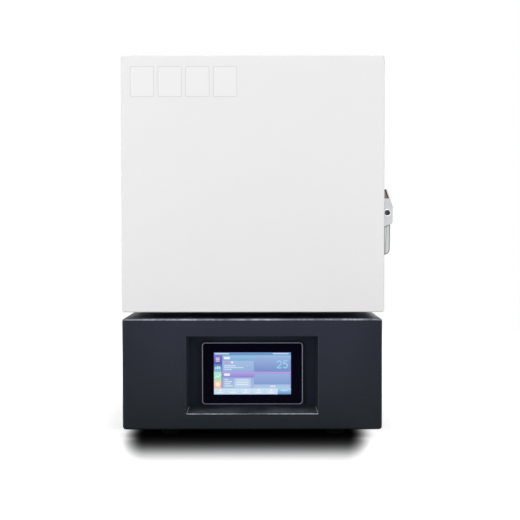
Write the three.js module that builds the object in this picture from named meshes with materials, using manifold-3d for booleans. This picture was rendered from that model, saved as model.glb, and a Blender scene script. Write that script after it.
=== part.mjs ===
// A benchtop high-temperature furnace for a dental laboratory: a fibre-lined chamber behind a side-hinged
// door, carried by a base that holds the touch display, the transformer and the cooling fan.
// Millimetres, +Z up. The front looks along -Y. X runs from the hinge side to the latch side.
import * as THREE from "three";
import { mergeVertices } from "three/addons/utils/BufferGeometryUtils.js";
import Module from "manifold-3d";

const wasm = await Module();
wasm.setup();

// Overall sizes
const baseWidth = 397;
const doorOverhang = 3;
const cabinetDepth = 475;
const footHeight = 13;
const baseHeight = 170;
const airGap = 10;
const doorHeight = 390;
const doorThickness = 42;
const doorGap = 3;
const coverInset = 5;

// Sheet metal and clearances
const sheet = 1.5;
const seam = 0.25;
const runningGap = 0.3;
const cutOverrun = 2;
const lipWidth = 18;
const weld = 1e-4;

// Folded corners and edges
const doorCorner = 4;
const doorEdge = 2.5;
const coverCorner = 4;
const baseCorner = 5;
const baseEdge = 3;

// Feet and plinth
const footRadius = 17;
const footTipRadius = 14;
const footBossRadius = 6;
const footInsetX = 70;
const footInsetY = 45;
const plinthInsetX = 48;
const plinthFrontInset = 100;
const plinthBackInset = 45;
const plinthWall = 25;

// Recess and display
const recessWidth = 201;
const recessHeight = 118;
const recessRise = 24.75;
const recessDepth = 40;
const recessSideDraft = 1.25;
const recessFloorRise = 4;
const displayPanelLap = 9;
const displayPanelThickness = 2;
const bezelWidth = 158;
const bezelHeight = 97.5;
const bezelRise = 56.75;
const bezelDepth = 6;
const bezelCorner = 5.5;
const bezelRing = 1.75;
const bezelLip = 6;
const bezelFloor = 2;
const glassRecess = 0.5;
const displayHousingDepth = 32;
const housingStep = 9;

// Chamber, insulation and inner casing
const chamberWidth = 160;
const chamberHeight = 155;
const chamberDepth = 204;
const mouthDepth = 40;
const roofThickness = 73.5;
const hearthThickness = 10;
const hearthMargin = 1;
const frameThickness = 2;
const frameLap = 10;
const casingSheet = 1.25;
const airJacket = 15.5;
const terminalSpace = 56.5;
const serviceSpace = 81.5;

// Door lining
const plugClearance = 3;
const plugDraft = 3;
const coreMargin = 48;
const linerFlange = 14;
const gasketWidth = 12;
const gasketMargin = 22;
const gasketCorner = 14;

// Heating elements and their terminals
const elementRadius = 3;
const coldEndRadius = 6;
const elementWidth = 30;
const elementInset = 14;
const elementHearthGap = 12;
const elementTaper = 8;
const coldEndInChamber = 8;
const terminalRise = 36;
const passageRadius = 8;
const holderWidth = 24;
const holderOverlap = 12;
const holderHeight = 18;
const holderChamfer = 3;
const collarRadius = 9;
const collarHeight = 11;
const strapThickness = 2.5;
const strapWidth = 12;
const strapRise = 12;
const elementPlaceShares = [0.24, 0.76];

// Thermocouple
const sheathRadius = 4;
const sheathReach = 22;
const sheathDrop = 40;
const sheathPassageRadius = 5;
const sheathSeat = 12;
const headRadius = 14;
const headLength = 28;
const headCapLength = 8;

// Door hinges
const hingeHeight = 54;
const hingeInset = 62;
const knuckleRadius = 4.25;
const hingePinRadius = 2.2;
const hingePinClearance = 0.3;
const pinHeadRadius = 3.4;
const pinHeadHeight = 2;
const leafThickness = 2;
const bodyLeafWidth = 32;
const doorLeafWidth = 36;
const knuckleRelief = 1;

// Latch
const latchPivotRise = 151.7;
const latchPivotReach = 6.7;
const latchFront = 20;
const cheekThickness = 2.5;
const cheekPitch = 17.5;
const bracketPlate = 1.25;
const bracketReach = 15.2;
const bracketTopRise = 36.2;
const bracketShoulderRise = 8.4;
const bracketLowerDrop = 11.6;
const bracketChinReach = 10.4;
const bracketChinDrop = 18.1;
const bracketHeelDrop = 22.2;
const bracketTipReach = 5.6;
const roofSheet = 1.6;
const windowRise = 22;
const windowSlopeShare = 1 / 3;
const latchShaftRadius = 3.2;
const latchShaftClearance = 0.3;
const shaftHeadRadius = 4.2;
const shaftSocketRadius = 2.4;
const shaftSocketDepth = 1.5;
const leverBarrelRadius = 4.9;
const leverReach = 65;
const leverOuter = 5.1;
const leverInner = 4.9;
const leverTipRadius = 9;
const leverTaper = 0.8;
const leverEdge = 1.2;
const camThickness = 5.5;
const camHubRadius = 6;
const camReach = 11;
const camHalfHeight = 4.2;
const keeperGap = 0.5;
const keeperLip = 3;
const keeperLipReach = 8;
const keeperPlate = 2;
const keeperHalfHeight = 20;
const keeperLipHalfHeight = 9;
const keeperLength = 32;
const keeperStandoff = 6;

// Transformer and power regulator
const coreWidth = 132;
const coreHeight = 110;
const coreStack = 52;
const coreLimb = 22;
const coreFrontInset = 175;
const coreOffset = 70;
const coilWall = 17;
const coilGap = 1;
const coilCorner = 14;
const sinkWidth = 110;
const sinkHeight = 62;
const sinkLength = 120;
const sinkBase = 8;
const finThickness = 3;
const finPitch = 10.2;
const sinkOffset = 90;
const sinkFrontInset = 190;

// Cooling fan
const fanSize = 120;
const fanDepth = 25;
const fanCorner = 6;
const fanBoreRadius = 56;
const fanHubRadius = 19;
const fanOffset = 105;
const fanHubGap = 0.5;
const fanStrutWidth = 7;
const fanStrutDepth = 4;
const fanHubDepth = 5;
const bladeTipGap = 2.5;
const bladeThickness = 1.8;
const bladeDepth = 14;
const bladeRootOverlap = 1.5;
const bladeCount = 7;
const bladeRows = 3;
const bladePitch = Math.PI / 5;
const bladeTwistShare = 1 / 3;
const guardWire = 1.1;
const guardRingCount = 4;
const guardHubRadius = 9;
const guardSeatRadius = 60;
const guardArmCount = 4;

// Rear panels, switch and gland
const slotWidth = 5;
const slotPitch = 14;
const slotHeight = 34;
const slotMargin = 42;
const slotCount = 18;
const baseSlotCount = 7;
const baseSlotHeight = 70;
const baseSlotOffset = 30;
const switchWidth = 22;
const switchHeight = 30;
const switchDepth = 24;
const switchFlange = 3;
const switchFlangeDepth = 2.5;
const switchOffset = 120;
const switchRise = 122;
const switchWall = 2;
const rockerHeight = 21;
const rockerWidth = 16;
const rockerProud = 2.5;
const rockerBackDepth = 9;
const rockerPivotDepth = 5;
const rockerTilt = 4;
const glandRise = 62;
const glandOffset = 120;
const glandBoreRadius = 7;
const glandBodyRadius = 11;
const glandNutRadius = 15;
const glandNutDepth = 7;
const glandDomeRadius = 13;
const glandDomeDepth = 12;
const glandDomeTipRadius = 9.5;
const glandPanelClearance = 0.3;

// Smoothness of round forms
const cornerSteps = 4;
const edgeSteps = 3;
const pinSides = 16;
const roundSides = 24;
const hexSides = 6;
const passageSides = 8;
const elementSides = 8;
const wireSides = 4;
const ringSides = 24;

// Planes and lines that several pieces share
const baseTop = footHeight + baseHeight;
const bodyBottom = baseTop + airGap;
const doorTop = bodyBottom + doorHeight;
const bodyTop = doorTop - coverInset;
const baseHalf = baseWidth / 2;
const bodyHalf = baseHalf - coverInset;
const doorLeft = -baseHalf;
const doorRight = baseHalf + doorOverhang;
const bodyFront = doorThickness + doorGap;
const bodyInnerHalf = bodyHalf - sheet;
const bodyFloorTop = bodyBottom + sheet + seam + sheet;
const panelFront = cabinetDepth - sheet;
const casingHalf = bodyInnerHalf - airJacket;
const casingFront = bodyFront + frameThickness + seam;
const casingBack = panelFront - serviceSpace;
const casingBottom = bodyFloorTop + seam;
const casingTop = bodyTop - sheet - terminalSpace;
const boardHalf = casingHalf - casingSheet - seam;
const boardBack = casingBack - casingSheet - seam;
const boardBottom = casingBottom + casingSheet + seam;
const boardTop = casingTop - casingSheet - seam;
const chamberHalf = chamberWidth / 2;
const roof = boardTop - roofThickness;
const hearthTop = roof - chamberHeight;
const floorBoardTop = hearthTop - hearthThickness - seam;
const plugEnd = bodyFront + mouthDepth;
const chamberBack = plugEnd + chamberDepth;
const hingeX = doorLeft;
const hingeY = doorThickness + seam + knuckleRadius;
const latchX = doorRight + latchPivotReach;
const latchZ = bodyBottom + latchPivotRise;
const shaftEnd = bodyFront + keeperStandoff + keeperLip + keeperGap + camThickness;
const recessBottom = footHeight + recessRise;
const recessTop = recessBottom + recessHeight;
const bezelCentre = recessBottom + bezelRise;
const floorPlateTop = footHeight + sheet + seam + sheet;

// Geometry helpers
function weldedVertices(geometry) {
  const bare = geometry.index ? geometry.toNonIndexed() : geometry.clone();
  bare.deleteAttribute("normal");
  bare.deleteAttribute("uv");
  return mergeVertices(bare, weld);
}

function solidOf(geometry) {
  const merged = weldedVertices(geometry);
  const vertProperties = merged.attributes.position.array;
  const triVerts = new Uint32Array(merged.index.array);
  return new wasm.Manifold(new wasm.Mesh({ numProp: 3, vertProperties, triVerts }));
}

function geometryOf(solid) {
  const mesh = solid.getMesh();
  const geometry = new THREE.BufferGeometry();
  geometry.setAttribute("position", new THREE.BufferAttribute(mesh.vertProperties, 3));
  geometry.setIndex(new THREE.BufferAttribute(mesh.triVerts, 1));
  const faceted = geometry.toNonIndexed();
  faceted.computeVertexNormals();
  return faceted;
}

function joined(...solids) {
  return solids.reduce((whole, piece) => whole.add(piece));
}

function cut(solid, ...tools) {
  return tools.reduce((rest, tool) => rest.subtract(tool), solid);
}

// A block between two corners.
function block(x0, x1, y0, y1, z0, z1) {
  const geometry = new THREE.BoxGeometry(x1 - x0, y1 - y0, z1 - z0);
  geometry.translate((x0 + x1) / 2, (y0 + y1) / 2, (z0 + z1) / 2);
  return solidOf(geometry);
}

// A block whose front rectangle changes into its back rectangle, both given as {x0, x1, z0, z1}.
function taperedBlock(front, back, y0, y1) {
  const geometry = new THREE.BoxGeometry(1, 1, 1);
  const corners = geometry.attributes.position;
  for (let i = 0; i < corners.count; i += 1) {
    const end = corners.getY(i) < 0 ? front : back;
    corners.setX(i, corners.getX(i) < 0 ? end.x0 : end.x1);
    corners.setZ(i, corners.getZ(i) < 0 ? end.z0 : end.z1);
    corners.setY(i, corners.getY(i) < 0 ? y0 : y1);
  }
  return solidOf(geometry);
}

// A round bar or cone along X, Y or Z, from a start to an end on that axis.
function rod(axis, radius, start, end, a, b, sides = roundSides, endRadius = radius) {
  const geometry = new THREE.CylinderGeometry(endRadius, radius, end - start, sides);
  geometry.translate(0, (start + end) / 2, 0);
  if (axis === "x") geometry.rotateZ(-Math.PI / 2).translate(0, a, b);
  if (axis === "y") geometry.translate(a, 0, b);
  if (axis === "z") geometry.rotateX(Math.PI / 2).translate(a, b, 0);
  return solidOf(geometry);
}

// A rectangle with rounded corners, as a shape of (x, z).
function roundedRectangle(x0, x1, z0, z1, upper, lower = upper) {
  const shape = new THREE.Shape();
  const right = Math.PI / 2;
  shape.moveTo(x0 + lower, z0);
  shape.lineTo(x1 - lower, z0);
  shape.absarc(x1 - lower, z0 + lower, lower, -right, 0, false);
  shape.lineTo(x1, z1 - upper);
  shape.absarc(x1 - upper, z1 - upper, upper, 0, right, false);
  shape.lineTo(x0 + upper, z1);
  shape.absarc(x0 + upper, z1 - upper, upper, right, Math.PI, false);
  shape.lineTo(x0, z0 + lower);
  shape.absarc(x0 + lower, z0 + lower, lower, Math.PI, Math.PI + right, false);
  return shape;
}

// A shape of (x, z) carried along Y, with an optional rounded front edge.
function frontExtrusion(shape, y0, y1, edge = 0, steps = cornerSteps) {
  const tail = edge > 0 ? edge + cutOverrun : 0;
  const geometry = new THREE.ExtrudeGeometry(shape, {
    depth: y1 - y0 - edge + (tail > 0 ? cutOverrun : 0),
    curveSegments: steps,
    bevelEnabled: edge > 0,
    bevelThickness: edge,
    bevelSize: edge,
    bevelOffset: -edge,
    bevelSegments: edgeSteps,
  });
  geometry.rotateX(Math.PI / 2);
  geometry.translate(0, y1 + (tail > 0 ? cutOverrun : 0), 0);
  const solid = solidOf(geometry);
  if (edge <= 0) return solid;
  const box = new THREE.Box3().setFromBufferAttribute(geometry.attributes.position);
  const x0 = box.min.x - cutOverrun;
  const x1 = box.max.x + cutOverrun;
  const z0 = box.min.z - cutOverrun;
  const z1 = box.max.z + cutOverrun;
  return cut(solid, block(x0, x1, y1, y1 + tail + cutOverrun, z0, z1));
}

// A shape of (y, z) carried along X.
function sideExtrusion(shape, x0, x1, steps = cornerSteps) {
  const geometry = new THREE.ExtrudeGeometry(shape, {
    depth: x1 - x0,
    curveSegments: steps,
    bevelEnabled: false,
  });
  const along = new THREE.Matrix4().makeBasis(
    new THREE.Vector3(0, 1, 0),
    new THREE.Vector3(0, 0, 1),
    new THREE.Vector3(1, 0, 0),
  );
  geometry.applyMatrix4(along);
  geometry.translate(x0, 0, 0);
  return solidOf(geometry);
}

// A folded sheet box that is open at the back: its outer form less the same form drawn in by the wall.
function foldedShell(x0, x1, z0, z1, y0, y1, upper, lower, edge) {
  const outer = frontExtrusion(roundedRectangle(x0, x1, z0, z1, upper, lower), y0, y1, edge);
  const hollow = roundedRectangle(
    x0 + sheet,
    x1 - sheet,
    z0 + sheet,
    z1 - sheet,
    upper - sheet,
    lower - sheet,
  );
  return cut(outer, frontExtrusion(hollow, y0 + sheet, y1 + cutOverrun, edge - sheet));
}

// Base: shell, floor, rear panel, feet and plinth
function recessMouth(grow) {
  return {
    x0: -recessWidth / 2 - grow,
    x1: recessWidth / 2 + grow,
    z0: recessBottom - grow,
    z1: recessTop + grow,
  };
}

function recessEnd(grow) {
  return {
    x0: -recessWidth / 2 + recessSideDraft - grow,
    x1: recessWidth / 2 - recessSideDraft + grow,
    z0: recessBottom + recessFloorRise - grow,
    z1: recessTop - recessSideDraft + grow,
  };
}

function baseShell() {
  const shell = foldedShell(
    -baseHalf,
    baseHalf,
    footHeight,
    baseTop,
    0,
    cabinetDepth,
    baseCorner - sheet,
    baseCorner,
    baseEdge,
  );
  const belly = block(
    -baseHalf + lipWidth,
    baseHalf - lipWidth,
    lipWidth,
    cabinetDepth + cutOverrun,
    footHeight - cutOverrun,
    footHeight + sheet + cutOverrun,
  );
  const tray = taperedBlock(recessMouth(sheet), recessEnd(sheet), 0, recessDepth);
  const pocket = taperedBlock(recessMouth(0), recessEnd(0), 0, recessDepth);
  const mouth = block(
    recessMouth(0).x0,
    recessMouth(0).x1,
    -cutOverrun,
    seam,
    recessMouth(0).z0,
    recessMouth(0).z1,
  );
  const through = block(
    recessEnd(0).x0,
    recessEnd(0).x1,
    recessDepth - seam,
    recessDepth + cutOverrun,
    recessEnd(0).z0,
    recessEnd(0).z1,
  );
  return cut(joined(cut(shell, belly), tray), pocket, mouth, through);
}

function baseFloor() {
  return block(
    -baseHalf + baseCorner,
    baseHalf - baseCorner,
    baseEdge,
    panelFront - seam,
    footHeight + sheet + seam,
    floorPlateTop,
  );
}

function slotRow(count, centreX, z0, z1) {
  const slots = [];
  for (let i = 0; i < count; i += 1) {
    const x = centreX + (i - (count - 1) / 2) * slotPitch;
    const x0 = x - slotWidth / 2;
    slots.push(block(x0, x0 + slotWidth, panelFront - cutOverrun, cabinetDepth + cutOverrun, z0, z1));
  }
  return slots;
}

const fanCentreZ = footHeight + baseHeight / 2;
const switchZ = footHeight + switchRise;
const glandZ = footHeight + glandRise;

function baseRearPanel() {
  const outline = roundedRectangle(
    -baseHalf + sheet + seam,
    baseHalf - sheet - seam,
    floorPlateTop + seam,
    baseTop - sheet - seam,
    baseCorner - sheet,
  );
  const panel = frontExtrusion(outline, panelFront, cabinetDepth);
  const front = panelFront - cutOverrun;
  const back = cabinetDepth + cutOverrun;
  const fanHole = rod("y", fanBoreRadius, front, back, -fanOffset, fanCentreZ);
  const switchHole = block(
    switchOffset - switchWidth / 2 - seam,
    switchOffset + switchWidth / 2 + seam,
    front,
    back,
    switchZ - switchHeight / 2 - seam,
    switchZ + switchHeight / 2 + seam,
  );
  const glandHole = rod(
    "y",
    glandBodyRadius + glandPanelClearance,
    front,
    back,
    glandOffset,
    glandZ,
  );
  const slots = slotRow(
    baseSlotCount,
    baseSlotOffset,
    fanCentreZ - baseSlotHeight / 2,
    fanCentreZ + baseSlotHeight / 2,
  );
  return cut(panel, fanHole, switchHole, glandHole, ...slots);
}

function foot(x, y) {
  const pad = rod("z", footTipRadius, 0, footHeight, x, y, roundSides, footRadius);
  const boss = rod("z", footBossRadius, footHeight - sheet, footHeight + sheet, x, y, pinSides);
  return joined(pad, boss);
}

function plinthFrame() {
  const x = baseHalf - plinthInsetX;
  const back = cabinetDepth - plinthBackInset;
  const z0 = baseTop + seam;
  const z1 = bodyBottom + sheet;
  const outer = block(-x, x, plinthFrontInset, back, z0, z1);
  const hollow = block(
    -x + plinthWall,
    x - plinthWall,
    plinthFrontInset + plinthWall,
    back - plinthWall,
    z0 - cutOverrun,
    z1 + cutOverrun,
  );
  return cut(outer, hollow);
}

// Display: panel, bezel, glass and housing
function displayPanel() {
  const opening = recessEnd(0);
  const plate = block(
    opening.x0 - displayPanelLap,
    opening.x1 + displayPanelLap,
    recessDepth + seam,
    recessDepth + seam + displayPanelThickness,
    opening.z0 - displayPanelLap,
    opening.z1 + displayPanelLap,
  );
  const window = block(
    -housingHalfWidth() - seam,
    housingHalfWidth() + seam,
    recessDepth - cutOverrun,
    recessDepth + displayPanelThickness + cutOverrun,
    bezelCentre - housingHalfHeight() - seam,
    bezelCentre + housingHalfHeight() + seam,
  );
  return cut(plate, window);
}

function housingHalfWidth() {
  return bezelWidth / 2 - bezelLip;
}

function housingHalfHeight() {
  return bezelHeight / 2 - bezelLip;
}

function bezelOutline(inset) {
  return roundedRectangle(
    -bezelWidth / 2 + inset,
    bezelWidth / 2 - inset,
    bezelCentre - bezelHeight / 2 + inset,
    bezelCentre + bezelHeight / 2 - inset,
    bezelCorner - inset,
  );
}

function displayBezel() {
  const front = recessDepth - bezelDepth;
  const frame = frontExtrusion(bezelOutline(0), front, recessDepth);
  const seat = frontExtrusion(bezelOutline(bezelRing), front - cutOverrun, recessDepth - bezelFloor);
  const window = block(
    -bezelWidth / 2 + bezelRing + bezelLip,
    bezelWidth / 2 - bezelRing - bezelLip,
    front - cutOverrun,
    recessDepth + cutOverrun,
    bezelCentre - bezelHeight / 2 + bezelRing + bezelLip,
    bezelCentre + bezelHeight / 2 - bezelRing - bezelLip,
  );
  return cut(frame, seat, window);
}

function displayGlass() {
  const front = recessDepth - bezelDepth + glassRecess;
  return frontExtrusion(bezelOutline(bezelRing + seam), front, recessDepth - bezelFloor - seam);
}

function displayHousing() {
  const front = recessDepth + seam;
  const back = front + displayHousingDepth;
  const halfWidth = housingHalfWidth();
  const halfHeight = housingHalfHeight();
  const z = bezelCentre;
  const wide = { x0: -halfWidth, x1: halfWidth, z0: z - halfHeight, z1: z + halfHeight };
  const narrow = {
    x0: -halfWidth + housingStep,
    x1: halfWidth - housingStep,
    z0: z - halfHeight + housingStep,
    z1: z + halfHeight - housingStep,
  };
  const collar = block(wide.x0, wide.x1, front, front + displayHousingDepth / 2, wide.z0, wide.z1);
  return joined(collar, taperedBlock(wide, narrow, front + displayHousingDepth / 2, back));
}

// Body: outer cover, front frame, floor and rear panel
function outerCover() {
  const ring = roundedRectangle(-bodyHalf, bodyHalf, bodyBottom, bodyTop, coverCorner);
  const hollow = roundedRectangle(
    -bodyInnerHalf,
    bodyInnerHalf,
    bodyBottom + sheet,
    bodyTop - sheet,
    coverCorner - sheet,
  );
  const belly = block(
    -bodyHalf + lipWidth,
    bodyHalf - lipWidth,
    bodyFront - cutOverrun,
    cabinetDepth + cutOverrun,
    bodyBottom - cutOverrun,
    bodyBottom + sheet + cutOverrun,
  );
  return cut(
    frontExtrusion(ring, bodyFront, cabinetDepth),
    frontExtrusion(hollow, bodyFront - cutOverrun, cabinetDepth + cutOverrun),
    belly,
  );
}

// A panel that fits inside the outer cover with its corners rounded to clear the cover's own.
function coverInsert(y0, y1) {
  const shape = roundedRectangle(
    -bodyInnerHalf + seam,
    bodyInnerHalf - seam,
    bodyBottom + sheet + seam,
    bodyTop - sheet - seam,
    coverCorner - sheet,
  );
  return frontExtrusion(shape, y0, y1);
}

function frontFrame() {
  const window = block(
    -chamberHalf - frameLap,
    chamberHalf + frameLap,
    bodyFront - cutOverrun,
    bodyFront + frameThickness + cutOverrun,
    floorBoardTop - frameLap,
    roof + frameLap,
  );
  return cut(coverInsert(bodyFront, bodyFront + frameThickness), window);
}

function bodyFloor() {
  return block(
    -bodyInnerHalf + coverCorner,
    bodyInnerHalf - coverCorner,
    casingFront,
    panelFront - seam,
    bodyBottom + sheet + seam,
    bodyFloorTop,
  );
}

function rearPanel() {
  const low = bodyBottom + slotMargin;
  const high = bodyTop - slotMargin;
  const lower = slotRow(slotCount, 0, low, low + slotHeight);
  const upper = slotRow(slotCount, 0, high - slotHeight, high);
  return cut(coverInsert(panelFront, cabinetDepth), ...lower, ...upper);
}

// Inner casing and insulation
const elementCentres = elementPlaceShares.map((share) => plugEnd + chamberDepth * share);

function shankPlaces() {
  const places = [];
  for (const side of [-1, 1]) {
    for (const centre of elementCentres) {
      for (const end of [-1, 1]) {
        places.push([side * (chamberHalf - elementInset), centre + (end * elementWidth) / 2]);
      }
    }
  }
  return places;
}

function roofPassages(radius, z0, z1) {
  return shankPlaces().map(([x, y]) => rod("z", radius, z0, z1, x, y, passageSides));
}

function sheathPassage(y0, y1) {
  return rod("y", sheathPassageRadius, y0, y1, 0, roof - sheathDrop, pinSides);
}

function innerCasing() {
  const outer = block(-casingHalf, casingHalf, casingFront, casingBack, casingBottom, casingTop);
  const hollow = block(
    -casingHalf + casingSheet,
    casingHalf - casingSheet,
    casingFront - cutOverrun,
    casingBack - casingSheet,
    casingBottom + casingSheet,
    casingTop - casingSheet,
  );
  const passages = roofPassages(passageRadius, casingTop - casingSheet - cutOverrun, casingTop + cutOverrun);
  const back = sheathPassage(casingBack - casingSheet - cutOverrun, casingBack + cutOverrun);
  return cut(outer, hollow, back, ...passages);
}

function insulationTop() {
  const board = block(-boardHalf, boardHalf, casingFront, boardBack, roof, boardTop);
  return cut(board, ...roofPassages(passageRadius, roof - cutOverrun, boardTop + cutOverrun));
}

function insulationBottom() {
  return block(-boardHalf, boardHalf, casingFront, boardBack, boardBottom, floorBoardTop);
}

function insulationSide(side) {
  const inner = side * chamberHalf;
  const outer = side * boardHalf;
  return block(
    Math.min(inner, outer),
    Math.max(inner, outer),
    casingFront,
    boardBack,
    floorBoardTop + seam,
    roof - seam,
  );
}

function insulationBack() {
  const board = block(
    -chamberHalf + seam,
    chamberHalf - seam,
    chamberBack,
    boardBack,
    floorBoardTop + seam,
    roof - seam,
  );
  return cut(board, sheathPassage(chamberBack - cutOverrun, boardBack + cutOverrun));
}

function hearthPlate() {
  return block(
    -chamberHalf + hearthMargin,
    chamberHalf - hearthMargin,
    plugEnd + hearthMargin,
    chamberBack - hearthMargin,
    floorBoardTop + seam,
    hearthTop,
  );
}

// Heating elements: two straight shanks with thick cold ends, joined below by a half-round bend
class HalfTurn extends THREE.Curve {
  constructor(radius) {
    super();
    this.radius = radius;
  }

  getPoint(t, target = new THREE.Vector3()) {
    const angle = Math.PI * t;
    return target.set(0, -this.radius * Math.cos(angle), -this.radius * Math.sin(angle));
  }
}

function shank(y, z0) {
  const coldStart = roof - coldEndInChamber;
  const profile = [
    new THREE.Vector2(0, z0),
    new THREE.Vector2(elementRadius, z0),
    new THREE.Vector2(elementRadius, coldStart - elementTaper),
    new THREE.Vector2(coldEndRadius, coldStart),
    new THREE.Vector2(coldEndRadius, casingTop + terminalRise),
    new THREE.Vector2(0, casingTop + terminalRise),
  ];
  const geometry = new THREE.LatheGeometry(profile, elementSides);
  geometry.rotateX(Math.PI / 2);
  geometry.translate(0, y, 0);
  return solidOf(geometry);
}

function heatingElement() {
  const bendRadius = elementWidth / 2;
  const bendZ = hearthTop + elementHearthGap + bendRadius + elementRadius;
  const section = new THREE.Shape();
  section.absarc(0, 0, elementRadius, 0, 2 * Math.PI, false);
  const bend = new THREE.ExtrudeGeometry(section, {
    steps: 2 * cornerSteps,
    curveSegments: elementSides / 2,
    extrudePath: new HalfTurn(bendRadius),
  });
  bend.translate(0, 0, bendZ);
  return joined(
    solidOf(bend),
    shank(-bendRadius, bendZ - elementRadius / 2),
    shank(bendRadius, bendZ - elementRadius / 2),
  );
}

function elementHolder() {
  const z0 = casingTop + seam;
  const z1 = z0 + holderHeight;
  const halfLength = elementWidth / 2 + holderOverlap;
  const shape = new THREE.Shape();
  shape.moveTo(-halfLength, z0);
  shape.lineTo(halfLength, z0);
  shape.lineTo(halfLength, z1 - holderChamfer);
  shape.lineTo(halfLength - holderChamfer, z1);
  shape.lineTo(-halfLength + holderChamfer, z1);
  shape.lineTo(-halfLength, z1 - holderChamfer);
  const body = sideExtrusion(shape, -holderWidth / 2, holderWidth / 2);
  const bores = [-1, 1].map((end) => {
    const y = (end * elementWidth) / 2;
    return rod("z", coldEndRadius + runningGap, z0 - cutOverrun, z1 + cutOverrun, 0, y, pinSides);
  });
  return cut(body, ...bores);
}

// A contact strap along +X: a clamp collar on each cold end and an arched flat band between them.
function contactStrap(length) {
  const z0 = casingTop + seam + holderHeight + seam;
  const z1 = z0 + collarHeight;
  const bandStart = collarRadius - strapThickness;
  const bandEnd = length - bandStart;
  const crown = z1 + 2 * strapRise;
  const shape = new THREE.Shape();
  shape.moveTo(bandStart, z1 - strapThickness);
  shape.quadraticCurveTo(length / 2, crown - strapThickness, bandEnd, z1 - strapThickness);
  shape.lineTo(bandEnd + strapThickness, z1 - strapThickness);
  shape.lineTo(bandEnd + strapThickness / 2, z1);
  shape.quadraticCurveTo(length / 2, crown + strapThickness, bandStart - strapThickness / 2, z1);
  shape.lineTo(bandStart - strapThickness, z1 - strapThickness);
  const band = frontExtrusion(shape, -strapWidth / 2, strapWidth / 2, 0, 2 * cornerSteps);
  const collars = [0, length].map((x) => rod("z", collarRadius, z0, z1, x, 0, pinSides));
  const bores = [0, length].map((x) =>
    rod("z", coldEndRadius + runningGap, z0 - cutOverrun, z1 + cutOverrun, x, 0, pinSides),
  );
  return cut(joined(band, ...collars), ...bores);
}

function thermocoupleSheath() {
  const tip = chamberBack - sheathReach;
  const end = casingBack + seam + sheathSeat;
  const nose = rod("y", sheathRadius / 2, tip, tip + sheathRadius / 2, 0, 0, pinSides, sheathRadius);
  return joined(nose, rod("y", sheathRadius, tip + sheathRadius / 2, end, 0, 0, pinSides));
}

function thermocoupleHead() {
  const y0 = casingBack + seam;
  const y1 = y0 + headLength;
  const body = rod("y", headRadius, y0, y1 - headCapLength, 0, 0);
  const cap = rod("y", headRadius, y1 - headCapLength, y1, 0, 0, roundSides, headRadius - headCapLength / 2);
  const seatEnd = y0 + sheathSeat + runningGap;
  const bore = rod("y", sheathRadius + runningGap, y0 - cutOverrun, seatEnd, 0, 0, pinSides);
  return cut(joined(body, cap), bore);
}

// Door: shell, liner, fibre core with its plug, and gasket
function doorShell() {
  return foldedShell(
    doorLeft,
    doorRight,
    bodyBottom,
    doorTop,
    0,
    doorThickness,
    doorCorner,
    doorCorner,
    doorEdge,
  );
}

function plugRoot(grow) {
  return {
    x0: -chamberHalf + plugClearance - grow,
    x1: chamberHalf - plugClearance + grow,
    z0: floorBoardTop + plugClearance - grow,
    z1: roof - plugClearance + grow,
  };
}

function doorLiner() {
  const back = doorThickness;
  const inset = sheet + seam;
  const outer = roundedRectangle(
    doorLeft + inset,
    doorRight - inset,
    bodyBottom + inset,
    doorTop - inset,
    doorCorner - sheet,
  );
  const hollow = roundedRectangle(
    doorLeft + inset + sheet,
    doorRight - inset - sheet,
    bodyBottom + inset + sheet,
    doorTop - inset - sheet,
    (doorCorner - sheet) / 2,
  );
  const root = plugRoot(runningGap);
  const window = block(
    root.x0,
    root.x1,
    back - sheet - cutOverrun,
    back + cutOverrun,
    root.z0,
    root.z1,
  );
  return cut(
    frontExtrusion(outer, back - linerFlange, back),
    frontExtrusion(hollow, back - linerFlange - cutOverrun, back - sheet),
    window,
  );
}

function doorInsulation() {
  const back = doorThickness - sheet - seam;
  const core = block(
    doorLeft + coreMargin,
    doorRight - coreMargin,
    sheet + seam,
    back,
    bodyBottom + coreMargin,
    doorTop - coreMargin,
  );
  return joined(core, taperedBlock(plugRoot(0), plugRoot(-plugDraft), back - seam, plugEnd - hearthMargin));
}

function doorGasket() {
  const ring = (grow) =>
    roundedRectangle(
      -chamberHalf - gasketMargin - grow,
      chamberHalf + gasketMargin + grow,
      floorBoardTop - gasketMargin - grow,
      roof + gasketMargin + grow,
      gasketCorner + grow,
    );
  const y0 = doorThickness + seam;
  const y1 = bodyFront - seam;
  return cut(
    frontExtrusion(ring(gasketWidth), y0, y1),
    frontExtrusion(ring(0), y0 - cutOverrun, y1 + cutOverrun),
  );
}

// Hinges: each has three knuckles, the middle one on the door
const knuckleLength = hingeHeight / 3;

function knuckle(z0, z1) {
  return rod("z", knuckleRadius, z0, z1, hingeX, hingeY, pinSides);
}

function hingeBore(z) {
  const half = hingeHeight / 2 + cutOverrun;
  return rod("z", hingePinRadius + hingePinClearance, z - half, z + half, hingeX, hingeY, pinSides);
}

function bodyHingeLeaf(z) {
  const half = hingeHeight / 2;
  const inner = knuckleLength / 2 + seam;
  const wall = -bodyHalf - seam;
  const plate = block(wall - leafThickness, wall, hingeY, hingeY + bodyLeafWidth, z - half, z + half);
  const relief = block(
    wall - leafThickness - cutOverrun,
    wall + cutOverrun,
    hingeY - cutOverrun,
    hingeY + knuckleRadius + knuckleRelief,
    z - inner,
    z + inner,
  );
  const knuckles = joined(knuckle(z - half, z - inner), knuckle(z + inner, z + half));
  return cut(joined(cut(plate, relief), knuckles), hingeBore(z));
}

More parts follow.
